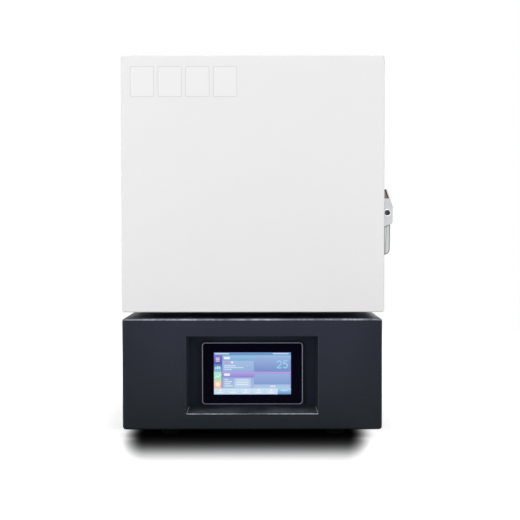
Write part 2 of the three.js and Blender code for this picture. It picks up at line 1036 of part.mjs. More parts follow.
function doorHingeLeaf(z) {
  const half = hingeHeight / 2;
  const inner = knuckleLength / 2;
  const back = doorThickness + seam;
  const clear = hingeX + knuckleRadius + knuckleRelief;
  const plate = block(hingeX, hingeX + doorLeafWidth, back, back + leafThickness, z - half, z + half);
  const relief = (z0, z1) =>
    block(hingeX - cutOverrun, clear, back - cutOverrun, back + leafThickness + cutOverrun, z0, z1);
  const upper = relief(z + inner, z + half + cutOverrun);
  const lower = relief(z - half - cutOverrun, z - inner);
  return cut(joined(cut(plate, upper, lower), knuckle(z - inner, z + inner)), hingeBore(z));
}

function hingePin(z) {
  const top = z + hingeHeight / 2;
  const shaft = rod("z", hingePinRadius, z - hingeHeight / 2, top + seam, hingeX, hingeY, pinSides);
  const head = rod("z", pinHeadRadius, top + seam, top + seam + pinHeadHeight, hingeX, hingeY, pinSides);
  return joined(shaft, head);
}

// Latch: a bracket with two cheeks under a sloped roof, a shaft through them, a lever and a cam
function cheekOutline(topReach, topRise) {
  const shape = new THREE.Shape();
  const x = (reach) => doorRight + seam + reach;
  const z = (rise) => latchZ + rise;
  shape.moveTo(x(0), z(-bracketHeelDrop));
  shape.lineTo(x(bracketChinReach), z(-bracketChinDrop));
  shape.quadraticCurveTo(x(bracketReach), z(-bracketChinDrop), x(bracketReach), z(-bracketLowerDrop));
  shape.lineTo(x(bracketReach), z(bracketShoulderRise));
  shape.lineTo(x(topReach), z(topRise));
  shape.lineTo(x(0), z(topRise));
  return shape;
}

function latchBracket() {
  const x0 = doorRight + seam;
  const y0 = latchFront;
  const y1 = latchFront + cheekPitch;
  const end = y1 + cheekThickness;
  const top = latchZ + bracketTopRise;
  const roofShape = new THREE.Shape();
  const shoulder = latchZ + bracketShoulderRise;
  roofShape.moveTo(x0 + bracketReach, shoulder);
  roofShape.lineTo(x0 + bracketTipReach, top);
  roofShape.lineTo(x0 + bracketTipReach - roofSheet, top);
  roofShape.lineTo(x0 + bracketReach - roofSheet, shoulder);
  const cheeks = joined(
    frontExtrusion(cheekOutline(bracketTipReach, bracketTopRise), y0, y0 + cheekThickness),
    frontExtrusion(cheekOutline(bracketTipReach, bracketTopRise), y1, end),
  );
  const plate = block(x0, x0 + bracketPlate, y0, end, latchZ - bracketHeelDrop, top);
  const slope = frontExtrusion(roofShape, y0, end);
  const window = new THREE.Shape();
  window.moveTo(x0 + bracketPlate, latchZ + windowRise);
  const tip = x0 + bracketTipReach - roofSheet;
  window.lineTo(tip + (bracketTopRise - windowRise) * windowSlopeShare, latchZ + windowRise);
  window.lineTo(tip, top + cutOverrun);
  window.lineTo(x0 + bracketPlate, top + cutOverrun);
  const frontWindow = frontExtrusion(window, y0 - cutOverrun, y0 + cheekThickness + seam);
  const bore = rod(
    "y",
    latchShaftRadius + latchShaftClearance,
    y0 - cutOverrun,
    end + cutOverrun,
    latchX,
    latchZ,
    pinSides,
  );
  const headSeat = rod(
    "y",
    shaftHeadRadius + latchShaftClearance,
    y0 - cutOverrun,
    y0 + cheekThickness / 2,
    latchX,
    latchZ,
  );
  return cut(joined(cheeks, plate, slope), frontWindow, bore, headSeat);
}

function latchShaft() {
  const head = rod("y", shaftHeadRadius, latchFront, latchFront + cheekThickness / 2 - seam, 0, 0);
  const shaft = rod("y", latchShaftRadius, latchFront + seam, shaftEnd, 0, 0, pinSides);
  const socketEnd = latchFront + shaftSocketDepth;
  const socket = rod("y", shaftSocketRadius, latchFront - cutOverrun, socketEnd, 0, 0, hexSides);
  return cut(joined(head, shaft), socket);
}

function leverOutline() {
  const shape = new THREE.Shape();
  const low = -leverReach;
  const toe = leverOuter - leverTaper;
  shape.moveTo(-leverInner, 0);
  shape.lineTo(-leverInner, low);
  shape.quadraticCurveTo(toe, low + leverTaper, toe, low + leverTipRadius + leverTaper);
  shape.lineTo(leverOuter, 0);
  return shape;
}

function latchLever() {
  const y0 = latchFront + cheekThickness + runningGap;
  const y1 = latchFront + cheekPitch - runningGap;
  const barrel = rod("y", leverBarrelRadius, y0, y1, 0, 0);
  const arm = frontExtrusion(leverOutline(), y0, y1, leverEdge);
  const notch = block(
    -leverInner - cutOverrun,
    leverOuter + cutOverrun,
    y0 - cutOverrun,
    y1 + cutOverrun,
    -leverBarrelRadius / 2,
    leverBarrelRadius + cutOverrun,
  );
  const bore = rod("y", latchShaftRadius + seam, y0 - cutOverrun, y1 + cutOverrun, 0, 0, pinSides);
  return cut(joined(cut(arm, notch), barrel), bore);
}

function latchCam() {
  const y1 = shaftEnd;
  const y0 = y1 - camThickness;
  const hub = rod("y", camHubRadius, y0, y1, 0, 0);
  const nose = roundedRectangle(-camReach, 0, -camHalfHeight, camHalfHeight, camHalfHeight / 2);
  const bore = rod("y", latchShaftRadius + seam, y0 - cutOverrun, y1 + cutOverrun, 0, 0, pinSides);
  return cut(joined(hub, frontExtrusion(nose, y0, y1)), bore);
}

function latchKeeper() {
  const wall = bodyHalf + seam;
  const y0 = bodyFront + keeperStandoff;
  const plate = block(
    wall,
    wall + keeperPlate,
    y0,
    y0 + keeperLength,
    latchZ - keeperHalfHeight,
    latchZ + keeperHalfHeight,
  );
  const lip = block(
    wall,
    wall + keeperLipReach,
    y0,
    y0 + keeperLip,
    latchZ - keeperLipHalfHeight,
    latchZ + keeperLipHalfHeight,
  );
  return joined(plate, lip);
}

// Power parts on the base floor
function transformerCore() {
  const z0 = floorPlateTop + seam;
  const half = coreWidth / 2;
  const stack = coreStack / 2;
  const frame = block(-half, half, -stack, stack, z0, z0 + coreHeight);
  const window = (x0, x1) =>
    block(x0, x1, -stack - cutOverrun, stack + cutOverrun, z0 + coreLimb, z0 + coreHeight - coreLimb);
  return cut(frame, window(-half + coreLimb, -coreLimb), window(coreLimb, half - coreLimb));
}

function transformerCoil() {
  const z0 = floorPlateTop + seam + coreLimb + coilGap;
  const z1 = floorPlateTop + seam + coreHeight - coreLimb - coilGap;
  const innerX = coreLimb + runningGap;
  const innerY = coreStack / 2 + runningGap;
  const outerX = innerX + coilWall;
  const outerY = innerY + coilWall;
  const plan = new THREE.ExtrudeGeometry(roundedRectangle(-outerX, outerX, -outerY, outerY, coilCorner), {
    depth: z1 - z0,
    curveSegments: cornerSteps,
    bevelEnabled: false,
  });
  plan.translate(0, 0, z0);
  return cut(solidOf(plan), block(-innerX, innerX, -innerY, innerY, z0 - cutOverrun, z1 + cutOverrun));
}

function powerRegulator() {
  const z0 = floorPlateTop + seam;
  const x0 = -sinkWidth / 2;
  const plate = block(x0, -x0, 0, sinkLength, z0, z0 + sinkBase);
  const fins = [];
  const count = Math.floor((sinkWidth - finThickness) / finPitch) + 1;
  const span = (count - 1) * finPitch;
  for (let i = 0; i < count; i += 1) {
    const x = -span / 2 + i * finPitch;
    const x1 = x + finThickness / 2;
    fins.push(block(x - finThickness / 2, x1, 0, sinkLength, z0 + sinkBase / 2, z0 + sinkHeight));
  }
  return joined(plate, ...fins);
}

// Cooling fan behind the rear panel: frame, rotor and guard
function fanFrame() {
  const y1 = panelFront - seam;
  const y0 = y1 - fanDepth;
  const half = fanSize / 2;
  const body = frontExtrusion(roundedRectangle(-half, half, -half, half, fanCorner), y0, y1);
  const bore = rod("y", fanBoreRadius, y0 - cutOverrun, y1 + cutOverrun, 0, 0, ringSides);
  const hub = rod("y", fanHubRadius, y0, y0 + fanHubDepth, 0, 0);
  const struts = block(
    -fanBoreRadius - seam,
    fanBoreRadius + seam,
    y0,
    y0 + fanStrutDepth,
    -fanStrutWidth / 2,
    fanStrutWidth / 2,
  );
  const uprights = block(
    -fanStrutWidth / 2,
    fanStrutWidth / 2,
    y0,
    y0 + fanStrutDepth,
    -fanBoreRadius - seam,
    fanBoreRadius + seam,
  );
  return joined(cut(body, bore), hub, struts, uprights);
}

// A blade is a grid that runs out along the radius and turns about it, with an equal back face.
function fanBlade() {
  const inner = fanHubRadius - bladeRootOverlap;
  const outer = fanBoreRadius - bladeTipGap;
  const geometry = new THREE.BoxGeometry(1, 1, 1, bladeRows, 1, 1);
  const points = geometry.attributes.position;
  for (let i = 0; i < points.count; i += 1) {
    const share = points.getX(i) + 0.5;
    const radius = inner + (outer - inner) * share;
    const pitch = bladePitch * (1 + share * bladeTwistShare);
    const chord = bladeDepth / Math.sin(Math.PI / 2 - pitch / 2);
    const along = points.getZ(i) * chord;
    const across = points.getY(i) * bladeThickness;
    const y = along * Math.cos(pitch) + across * Math.sin(pitch);
    const z = along * Math.sin(pitch) - across * Math.cos(pitch);
    points.setXYZ(i, radius, Math.max(-bladeDepth / 2, Math.min(bladeDepth / 2, y)), z);
  }
  return geometry;
}

function fanRotor() {
  const y0 = panelFront - seam - fanDepth + fanHubDepth + fanHubGap;
  const y1 = panelFront - seam - guardWire;
  const hub = rod("y", fanHubRadius, y0, y1, 0, 0);
  const blades = [];
  for (let i = 0; i < bladeCount; i += 1) {
    const geometry = fanBlade();
    geometry.rotateY((2 * Math.PI * i) / bladeCount);
    geometry.translate(0, (y0 + y1) / 2, 0);
    blades.push(solidOf(geometry));
  }
  return joined(hub, ...blades);
}

// The wire's section at one radius, drawn counter-clockwise so that its surface faces out.
function guardRing(radius, y) {
  const profile = [];
  for (let i = 0; i <= wireSides; i += 1) {
    const angle = (2 * Math.PI * (i % wireSides)) / wireSides;
    profile.push(new THREE.Vector2(radius + guardWire * Math.cos(angle), y + guardWire * Math.sin(angle)));
  }
  return profile;
}

function fanGuard() {
  const y = cabinetDepth + seam + guardWire;
  const rings = [];
  for (let i = 1; i <= guardRingCount; i += 1) {
    const radius = guardHubRadius + ((fanBoreRadius - guardHubRadius) * i) / guardRingCount;
    const geometry = new THREE.LatheGeometry(guardRing(radius, y), ringSides);
    rings.push(solidOf(geometry));
  }
  const hub = rod("y", guardHubRadius, y - guardWire, y + guardWire, 0, 0);
  const arms = [];
  for (let i = 0; i < guardArmCount; i += 1) {
    const angle = Math.PI / 4 + (2 * Math.PI * i) / guardArmCount;
    const arm = new THREE.BoxGeometry(guardSeatRadius, 2 * guardWire, 2 * guardWire);
    arm.translate(guardSeatRadius / 2, y, 0);
    arm.rotateY(angle);
    arms.push(solidOf(arm));
  }
  return joined(hub, ...rings, ...arms);
}

// Mains switch and cable gland in the base's rear panel
function switchBody() {
  const outerHalfX = switchWidth / 2;
  const outerHalfZ = switchHeight / 2;
  const flangeBack = cabinetDepth + seam + switchFlangeDepth;
  const y0 = flangeBack - switchDepth;
  const box = block(-outerHalfX, outerHalfX, y0, flangeBack, -outerHalfZ, outerHalfZ);
  const flange = block(
    -outerHalfX - switchFlange,
    outerHalfX + switchFlange,
    cabinetDepth + seam,
    flangeBack,
    -outerHalfZ - switchFlange,
    outerHalfZ + switchFlange,
  );
  const well = block(
    -outerHalfX + switchWall,
    outerHalfX - switchWall,
    y0 + switchWall,
    flangeBack + cutOverrun,
    -outerHalfZ + switchWall,
    outerHalfZ - switchWall,
  );
  const trunnions = rod(
    "x",
    switchWall,
    -outerHalfX + switchWall / 2,
    outerHalfX - switchWall / 2,
    flangeBack - rockerPivotDepth,
    0,
    pinSides,
  );
  return joined(cut(joined(box, flange), well), trunnions);
}

// The rocker's side view, about its pivot: two sloped faces that meet above the pivot.
function switchRocker() {
  const half = rockerHeight / 2;
  const proud = rockerPivotDepth + rockerProud;
  const shape = new THREE.Shape();
  shape.moveTo(-rockerBackDepth + rockerPivotDepth, -half + rockerTilt);
  shape.lineTo(proud - rockerTilt, -half);
  shape.lineTo(proud - rockerTilt, 0);
  shape.lineTo(proud, half);
  shape.lineTo(0, half);
  shape.lineTo(-rockerBackDepth + rockerPivotDepth, half - rockerTilt);
  const body = sideExtrusion(shape, -rockerWidth / 2, rockerWidth / 2);
  const bore = rod("x", switchWall + runningGap, -rockerWidth, rockerWidth, 0, 0, pinSides);
  return cut(body, bore);
}

function cableGland() {
  const face = cabinetDepth + seam;
  const inside = panelFront - seam - glandNutDepth;
  const body = rod("y", glandBodyRadius, inside, face + glandNutDepth, 0, 0);
  const lockNut = rod("y", glandNutRadius, inside, panelFront - seam, 0, 0, hexSides);
  const outerNut = rod("y", glandNutRadius, face, face + glandNutDepth, 0, 0, hexSides);
  const domeStart = face + glandNutDepth - seam;
  const dome = rod(
    "y",
    glandDomeRadius,
    domeStart,
    face + glandNutDepth + glandDomeDepth,
    0,
    0,
    roundSides,
    glandDomeTipRadius,
  );
  const bore = rod(
    "y",
    glandBoreRadius,
    inside - cutOverrun,
    face + glandNutDepth + glandDomeDepth + cutOverrun,
    0,
    0,
  );
  return cut(joined(body, lockNut, outerNut, dome), bore);
}

// Materials, by the finish that they show
function finish(color, roughness, metalness) {
  return () => new THREE.MeshStandardMaterial({ color, roughness, metalness });
}

const whiteCoat = finish(0xebeaeb, 0.45, 0);
const charcoalCoat = finish(0x34373f, 0.6, 0);
const blackCoat = finish(0x191c24, 0.55, 0);
const darkSteel = finish(0x2b2c30, 0.6, 0.4);
const zincSteel = finish(0xb9bcc0, 0.4, 1);
const castMetal = finish(0xd3d5da, 0.35, 1);
const bezelGrey = finish(0x77787f, 0.35, 1);
const blackGlass = finish(0x07061a, 0.06, 0);
const blackPlastic = finish(0x141518, 0.5, 0);
const fibre = finish(0xf1eee6, 0.95, 0);
const hearthCeramic = finish(0xe6dfd0, 0.85, 0);
const elementGrey = finish(0x6d6a68, 0.5, 0.2);
const holderCeramic = finish(0xe9e2cf, 0.6, 0);
const aluminium = finish(0xc6c8cb, 0.4, 1);
const rubber = finish(0x16171a, 0.85, 0);
const ropeSeal = finish(0xd9d3c4, 0.95, 0);
const coreIron = finish(0x4a4b50, 0.6, 0.6);
const coilCopper = finish(0x9c5a2b, 0.45, 0.6);

// Assembly
const furnace = new THREE.Group();

function place(name, solid, material, parent, x = 0, y = 0, z = 0) {
  const mesh = new THREE.Mesh(geometryOf(solid), material());
  mesh.name = name;
  mesh.position.set(x, y, z);
  parent.add(mesh);
  return mesh;
}

function addBase(parent) {
  const base = new THREE.Group();
  place("base_shell", baseShell(), charcoalCoat, base);
  place("base_floor", baseFloor(), darkSteel, base);
  place("base_rear_panel", baseRearPanel(), charcoalCoat, base);
  place("plinth_frame", plinthFrame(), darkSteel, base);
  for (const [row, y] of [["front", footInsetY], ["rear", cabinetDepth - footInsetY]]) {
    for (const [column, side] of [["left", -1], ["right", 1]]) {
      place("foot_" + row + "_" + column, foot(0, 0), rubber, base, side * (baseHalf - footInsetX), y);
    }
  }
  parent.add(base);
}

function addDisplay(parent) {
  const display = new THREE.Group();
  place("display_panel", displayPanel(), blackCoat, display);
  place("display_bezel", displayBezel(), bezelGrey, display);
  place("display_glass", displayGlass(), blackGlass, display);
  place("display_housing", displayHousing(), blackPlastic, display);
  parent.add(display);
}

function addBody(parent) {
  const body = new THREE.Group();
  place("outer_cover", outerCover(), whiteCoat, body);
  place("front_frame", frontFrame(), whiteCoat, body);
  place("body_floor", bodyFloor(), zincSteel, body);
  place("rear_panel", rearPanel(), whiteCoat, body);
  place("inner_casing", innerCasing(), zincSteel, body);
  place("insulation_top", insulationTop(), fibre, body);
  place("insulation_bottom", insulationBottom(), fibre, body);
  place("insulation_left", insulationSide(-1), fibre, body);
  place("insulation_right", insulationSide(1), fibre, body);
  place("insulation_back", insulationBack(), fibre, body);
  place("hearth_plate", hearthPlate(), hearthCeramic, body);
  parent.add(body);
}

function addHeating(parent) {
  const heating = new THREE.Group();
  const reach = chamberHalf - elementInset;
  const [near, far] = elementCentres;
  for (const [column, side] of [["left", -1], ["right", 1]]) {
    for (const [row, y] of [["front", near], ["rear", far]]) {
      const name = row + "_" + column;
      place("heating_element_" + name, heatingElement(), elementGrey, heating, side * reach, y);
      place("element_holder_" + name, elementHolder(), holderCeramic, heating, side * reach, y);
    }
    const span = far - near - elementWidth;
    const y = near + elementWidth / 2;
    const strap = place("contact_strap_" + column, contactStrap(span), aluminium, heating, side * reach, y);
    strap.rotation.z = Math.PI / 2;
  }
  const crossY = far + elementWidth / 2;
  place("contact_strap_cross", contactStrap(2 * reach), aluminium, heating, -reach, crossY);
  const sheathZ = roof - sheathDrop;
  place("thermocouple_sheath", thermocoupleSheath(), holderCeramic, heating, 0, 0, sheathZ);
  place("thermocouple_head", thermocoupleHead(), zincSteel, heating, 0, 0, sheathZ);
  parent.add(heating);
}

function addDoor(parent) {
  const door = new THREE.Group();
  place("door_shell", doorShell(), whiteCoat, door);
  place("door_liner", doorLiner(), zincSteel, door);
  place("door_insulation", doorInsulation(), fibre, door);
  place("door_gasket", doorGasket(), ropeSeal, door);
  parent.add(door);
}

function addHinges(parent) {
  const hinges = new THREE.Group();
  for (const [name, z] of [["lower", bodyBottom + hingeInset], ["upper", doorTop - hingeInset]]) {
    place("body_hinge_leaf_" + name, bodyHingeLeaf(z), zincSteel, hinges);
    place("door_hinge_leaf_" + name, doorHingeLeaf(z), zincSteel, hinges);
    place("hinge_pin_" + name, hingePin(z), zincSteel, hinges);
  }
  parent.add(hinges);
}

function addLatch(parent) {
  const latch = new THREE.Group();
  place("latch_bracket", latchBracket(), castMetal, latch);
  place("latch_shaft", latchShaft(), darkSteel, latch, latchX, 0, latchZ);
  place("latch_lever", latchLever(), castMetal, latch, latchX, 0, latchZ);
  place("latch_cam", latchCam(), zincSteel, latch, latchX, 0, latchZ);
  place("latch_keeper", latchKeeper(), zincSteel, latch);
  parent.add(latch);
}

function addPower(parent) {
  const power = new THREE.Group();
  place("transformer_core", transformerCore(), coreIron, power, coreOffset, coreFrontInset);
  place("transformer_coil", transformerCoil(), coilCopper, power, coreOffset, coreFrontInset);
  place("power_regulator", powerRegulator(), aluminium, power, -sinkOffset, sinkFrontInset);
  place("fan_frame", fanFrame(), blackPlastic, power, -fanOffset, 0, fanCentreZ);
  place("fan_rotor", fanRotor(), blackPlastic, power, -fanOffset, 0, fanCentreZ);
  place("fan_guard", fanGuard(), castMetal, power, -fanOffset, 0, fanCentreZ);
  const pivotY = cabinetDepth + seam + switchFlangeDepth - rockerPivotDepth;
  place("switch_body", switchBody(), blackPlastic, power, switchOffset, 0, switchZ);
  place("switch_rocker", switchRocker(), blackPlastic, power, switchOffset, pivotY, switchZ);
  place("cable_gland", cableGland(), blackPlastic, power, glandOffset, 0, glandZ);
  parent.add(power);
}

addBase(furnace);
addDisplay(furnace);
addBody(furnace);
addHeating(furnace);
addDoor(furnace);
addHinges(furnace);
addLatch(furnace);
addPower(furnace);

// The origin is the middle of the footprint, on the surface that the feet stand on.
const leftReach = hingeX - knuckleRadius;
const rightReach = doorRight + seam + bracketReach;
const rearReach = cabinetDepth + seam + glandNutDepth + glandDomeDepth;
furnace.position.set(-(leftReach + rightReach) / 2, -rearReach / 2, 0);

const part = new THREE.Group();
part.add(furnace);

export default part;
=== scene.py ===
"""Looks of a benchtop dental furnace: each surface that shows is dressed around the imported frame.

Lengths in this file are millimetres from the furnace's middle (x), its front plane (y) and the bench (z).
They become metres in the frame's own axes when a mesh is made. Materials read Object coordinates in metres.
A box is (x0, x1, z0, z1), seen from the front.
"""
import math

import bpy
import numpy as np
from mathutils import Matrix, Vector
from mathutils.geometry import tessellate_polygon


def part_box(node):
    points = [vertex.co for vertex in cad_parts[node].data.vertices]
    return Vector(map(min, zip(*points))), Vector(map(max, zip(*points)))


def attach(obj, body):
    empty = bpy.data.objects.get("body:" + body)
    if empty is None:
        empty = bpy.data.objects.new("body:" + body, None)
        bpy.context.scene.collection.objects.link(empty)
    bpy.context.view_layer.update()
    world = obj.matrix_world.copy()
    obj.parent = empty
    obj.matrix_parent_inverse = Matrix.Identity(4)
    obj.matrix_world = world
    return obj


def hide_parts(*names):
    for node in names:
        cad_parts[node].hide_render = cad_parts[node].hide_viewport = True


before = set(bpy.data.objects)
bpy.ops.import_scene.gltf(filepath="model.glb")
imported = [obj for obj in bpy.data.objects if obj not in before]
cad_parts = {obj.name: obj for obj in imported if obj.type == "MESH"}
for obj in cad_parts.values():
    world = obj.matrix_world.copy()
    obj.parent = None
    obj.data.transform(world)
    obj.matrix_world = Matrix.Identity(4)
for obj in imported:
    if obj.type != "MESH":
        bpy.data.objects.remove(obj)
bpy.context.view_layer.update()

MM = 0.001
base_low, base_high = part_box("base_shell")
ORIGIN = np.array([(base_low.x + base_high.x) / 2, base_low.y, 0.0])


def local_box(node_name):
    """(lowest, highest) corner of a CAD node in this file's millimetres."""
    return [(np.array(corner) - ORIGIN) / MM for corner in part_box(node_name)]


def middle_of(node_name):
    """The middle of a CAD node's box."""
    low, high = local_box(node_name)
    return (low + high) / 2


def front_of(node_name):
    """A CAD node's box (x0, x1, z0, z1) seen from the front, and its (y0, y1)."""
    (x0, y0, z0), (x1, y1, z1) = local_box(node_name)
    return (x0, x1, z0, z1), (y0, y1)


# Sheet metal
SHEET = 1.5
CORNER_STEPS = 8
BEND_STEPS = 5
CUT_EDGE = 0.25
SHEET_EDGE = 0.2
LIP = 18.0
DOOR_CORNER = 4.0
DOOR_BEND = 2.0
COVER_CORNER = 4.0
BASE_UPPER_CORNER = 3.5
BASE_LOWER_CORNER = 5.0
BASE_BEND = 3.0
MOUTH_BEND = 1.2
RECESS_DEPTH = 40.0
RECESS_CORNER = 0.8
RECESS_SIDE_DRAFT = 1.25
RECESS_FLOOR_RISE = 4.0
RECESS_MOUTH = (-100.5, 100.5, 37.75, 155.75)
ROUND_SIDES = 64

# Angles in degrees past which an edge is sharp, on most pieces, on cast and moulded ones, and on folded ones
CREASE = 35
MOULDED_CREASE = 42
FOLDED_CREASE = 50

base_box = local_box("base_shell")
cover_box = local_box("outer_cover")
door_box = local_box("door_shell")


# Surfaces
def stacked(axis, along, a, b):
    """Points with one coordinate along an axis and two across it."""
    order = {"x": (along, a, b), "y": (a, along, b), "z": (a, b, along)}[axis]
    return np.stack(np.broadcast_arrays(*order), axis=-1)


def angles_round(sides):
    """Even steps of one whole turn."""
    return np.linspace(0, 2 * np.pi, sides, endpoint=False)


def rounded_loop(box, y, radius, lower=None, belly=None, steps=CORNER_STEPS):
    """A rounded rectangle at one y: a corner point is its corner's centre + radius (cos a, sin a).

    belly puts two more points on the bottom side, that far from the middle on each side.
    """
    x0, x1, z0, z1 = box
    low = radius if lower is None else lower
    radii = np.repeat([radius, radius, low, low], steps + 1)
    quarter = np.linspace(0, np.pi / 2, steps + 1)
    angles = np.concatenate([quarter + turn * np.pi / 2 for turn in range(4)])
    right = np.repeat([True, False, False, True], steps + 1)
    upper = np.repeat([True, True, False, False], steps + 1)
    x = np.where(right, x1 - radii, x0 + radii) + radii * np.cos(angles)
    z = np.where(upper, z1 - radii, z0 + radii) + radii * np.sin(angles)
    if belly is not None:
        reach = min(belly, 0.9 * (x1 - x0 - 2 * low) / 2)
        middle = (x0 + x1) / 2
        at = 3 * (steps + 1)
        x = np.insert(x, at, [middle - reach, middle + reach])
        z = np.insert(z, at, [z0, z0])
    return stacked("y", y, x, z)


def inset_loop(box, inset, y, radius, lower=None, belly=None):
    """The rounded rectangle of a box, drawn in by inset, with its corners drawn in alike."""
    x0, x1, z0, z1 = box
    small = RECESS_CORNER / 4
    low = None if lower is None else max(lower - inset, small)
    drawn = (x0 + inset, x1 - inset, z0 + inset, z1 - inset)
    return rounded_loop(drawn, y, max(radius - inset, small), low, belly)


def bend(radius, steps=BEND_STEPS):
    """(inset, depth) along a quarter-round bend from the face to the side: r (1 - sin t), r (1 - cos t)."""
    t = np.linspace(0, np.pi / 2, steps + 1)
    return np.stack([radius * (1 - np.sin(t)), radius * (1 - np.cos(t))], axis=1)


def loft(loops, ring=False):
    """A shell through closed loops of equal count: quads between neighbours, and a flat face on each end.

    With ring the last loop joins the first instead.
    """
    loops = np.asarray(loops, float)
    count, around = loops.shape[:2]
    index = np.arange(count * around).reshape(count, around)
    rows = np.vstack([index, index[:1]]) if ring else index
    near, far = rows[:-1], rows[1:]
    quads = np.stack([near, np.roll(near, -1, 1), np.roll(far, -1, 1), far], axis=-1).reshape(-1, 4)
    flat = [] if ring else [index[0][::-1].tolist(), index[-1].tolist()]
    return loops.reshape(-1, 3), quads, flat


def lathe(profile, centre, axis="z", sides=ROUND_SIDES, ring=False):
    """A profile of (radius, height) turned about an axis: (r cos a, r sin a, h), with h along the axis.

    A radius may be one number, or one for each of the sides' angles.
    """
    angles = angles_round(sides)
    a, b = np.cos(angles), np.sin(angles)
    loops = [stacked(axis, height, reach * a, reach * b) for reach, height in profile]
    return loft(np.asarray(loops) + np.asarray(centre, float), ring=ring)


def tube(path, radii, normal, sides):
    """A circle carried along a path that lies in one plane: point + r (cos a side + sin a normal)."""
    path = np.asarray(path, float)
    tangent = np.gradient(path, axis=0)
    tangent /= np.linalg.norm(tangent, axis=1, keepdims=True)
    side = np.cross(tangent, normal)[:, None]
    angles = angles_round(sides)[None, :, None]
    circle = np.cos(angles) * side + np.sin(angles) * np.asarray(normal, float)
    return loft(path[:, None] + np.broadcast_to(radii, len(path))[:, None, None] * circle)


def arc(centre, radius, start, end, steps):
    """Points of an arc in a plane, from one angle to another in degrees."""
    angles = np.radians(np.linspace(start, end, steps + 1))
    return np.stack([centre[0] + radius * np.cos(angles), centre[1] + radius * np.sin(angles)], axis=1)


def eased(start, corner, end, steps):
    """Points of the curve (1 - t)^2 start + 2 t (1 - t) corner + t^2 end."""
    t = np.linspace(0, 1, steps + 1)[:, None]
    return (1 - t) ** 2 * np.array(start) + 2 * t * (1 - t) * np.array(corner) + t**2 * np.array(end)


def rounded_outline(box, radius, steps=CORNER_STEPS):
    """The (x, z) points of a rounded rectangle."""
    return rounded_loop(box, 0, radius, steps=steps)[:, [0, 2]]


def round_outline(x, z, radius, sides=ROUND_SIDES):
    """The (x, z) points of a circle: centre + r (cos a, sin a)."""
    angles = angles_round(sides)
    return np.stack([x + radius * np.cos(angles), z + radius * np.sin(angles)], axis=1)


def area_of(outline):
    """Half the sum of x0 z1 - x1 z0 over an outline's edges: above nought when it runs anticlockwise."""
    ahead = np.roll(outline, -1, 0)
    return (outline[:, 0] * ahead[:, 1] - ahead[:, 0] * outline[:, 1]).sum() / 2


def drawn_in(outline, distance):
    """An anticlockwise outline moved inwards along the mean of its edges' normals."""
    edge = np.roll(outline, -1, 0) - outline
    edge = edge / np.linalg.norm(edge, axis=1, keepdims=True)
    inward = np.stack([-edge[:, 1], edge[:, 0]], axis=1)
    mean = inward + np.roll(inward, 1, 0)
    share = np.maximum((mean * inward).sum(1, keepdims=True), 0.4)
    return outline + distance * mean / share


def prism(outline, start, end, axis="y"):
    """A flat outline carried straight along an axis from start to end."""
    a, b = np.asarray(outline, float).T
    return loft([stacked(axis, place, a, b) for place in (start, end)])


def slab(x0, x1, y0, y1, z0, z1):
    """A plain block between two corners."""
    return prism([(x0, z0), (x1, z0), (x1, z1), (x0, z1)], y0, y1)


def softened(outline, start, end, edge, axis="y", steps=4):
    """An outline carried along an axis, with quarter-round edges at both ends."""
    outline = np.asarray(outline, float)
    outline = outline if area_of(outline) > 0 else outline[::-1]
    near = [(inset, start + depth) for inset, depth in bend(edge, steps)]
    far = [(inset, end - depth) for inset, depth in bend(edge, steps)[::-1]]
    return loft([stacked(axis, place, *drawn_in(outline, inset).T) for inset, place in near + far])


def punched_sheet(outline, holes, start, end):
    """A sheet across y with holes: faces are filled between outline and holes, and each edge gets a wall.

    The outline runs anticlockwise and the holes clockwise, so the sheet is always on the same side.
    """
    loops = [np.asarray(loop, float) for loop in (outline, *holes)]
    loops = [loop if (area_of(loop) > 0) == (place == 0) else loop[::-1] for place, loop in enumerate(loops)]
    flat = np.concatenate(loops)
    count = len(flat)
    faces = np.array(tessellate_polygon([[Vector((a, b, 0)) for a, b in loop] for loop in loops]))
    p0, p1, p2 = (flat[faces[:, k]] for k in range(3))
    turned = (p1[:, 0] - p0[:, 0]) * (p2[:, 1] - p0[:, 1]) < (p2[:, 0] - p0[:, 0]) * (p1[:, 1] - p0[:, 1])
    faces[turned] = faces[turned][:, ::-1]
    firsts = np.cumsum([0] + [len(loop) for loop in loops])
    ahead = np.concatenate([np.roll(np.arange(a, b), -1) for a, b in zip(firsts, firsts[1:])])
    here = np.arange(count)
    walls = np.stack([here, ahead, ahead + count, here + count], axis=1)
    points = np.concatenate([stacked("y", place, *flat.T) for place in (start, end)])
    return points, walls, faces[:, ::-1].tolist() + (faces + count).tolist()


def signed_volume(points, quads, polygons):
    """A sixth of the sum of p0 . (p1 x p2) over the triangles that fan out in each face."""
    corners = [quads[:, [0, 1, 2]], quads[:, [0, 2, 3]]]
    for polygon in polygons:
        fan = np.array(polygon)
        corners.append(np.stack([np.full(len(fan) - 2, fan[0]), fan[1:-1], fan[2:]], axis=1))
    p0, p1, p2 = (points[np.concatenate(corners)[:, k]] for k in range(3))
    return np.einsum("ij,ij->i", p0, np.cross(p1, p2)).sum() / 6


def mesh_of(name, shells):
    """One mesh from closed shells (points, quads, polygons), each turned so that its faces point out."""
    points, faces, first = [], [], 0
    for shell_points, quads, polygons in shells:
        out = signed_volume(shell_points - shell_points.mean(0), quads, polygons) > 0
        quads = quads if out else quads[:, ::-1]
        polygons = polygons if out else [polygon[::-1] for polygon in polygons]
        faces += (quads + first).tolist()
        faces += [[first + corner for corner in polygon] for polygon in polygons]
        points.append(shell_points)
        first += len(shell_points)
    mesh = bpy.data.meshes.new(name)
    mesh.from_pydata((np.concatenate(points) * MM + ORIGIN).tolist(), [], faces)
    mesh.update()
    return mesh


def placed(name, data):
    """An object for a mesh, lamp or camera, in the scene."""
    made = bpy.data.objects.new(name, data)
    bpy.context.scene.collection.objects.link(made)
    return made


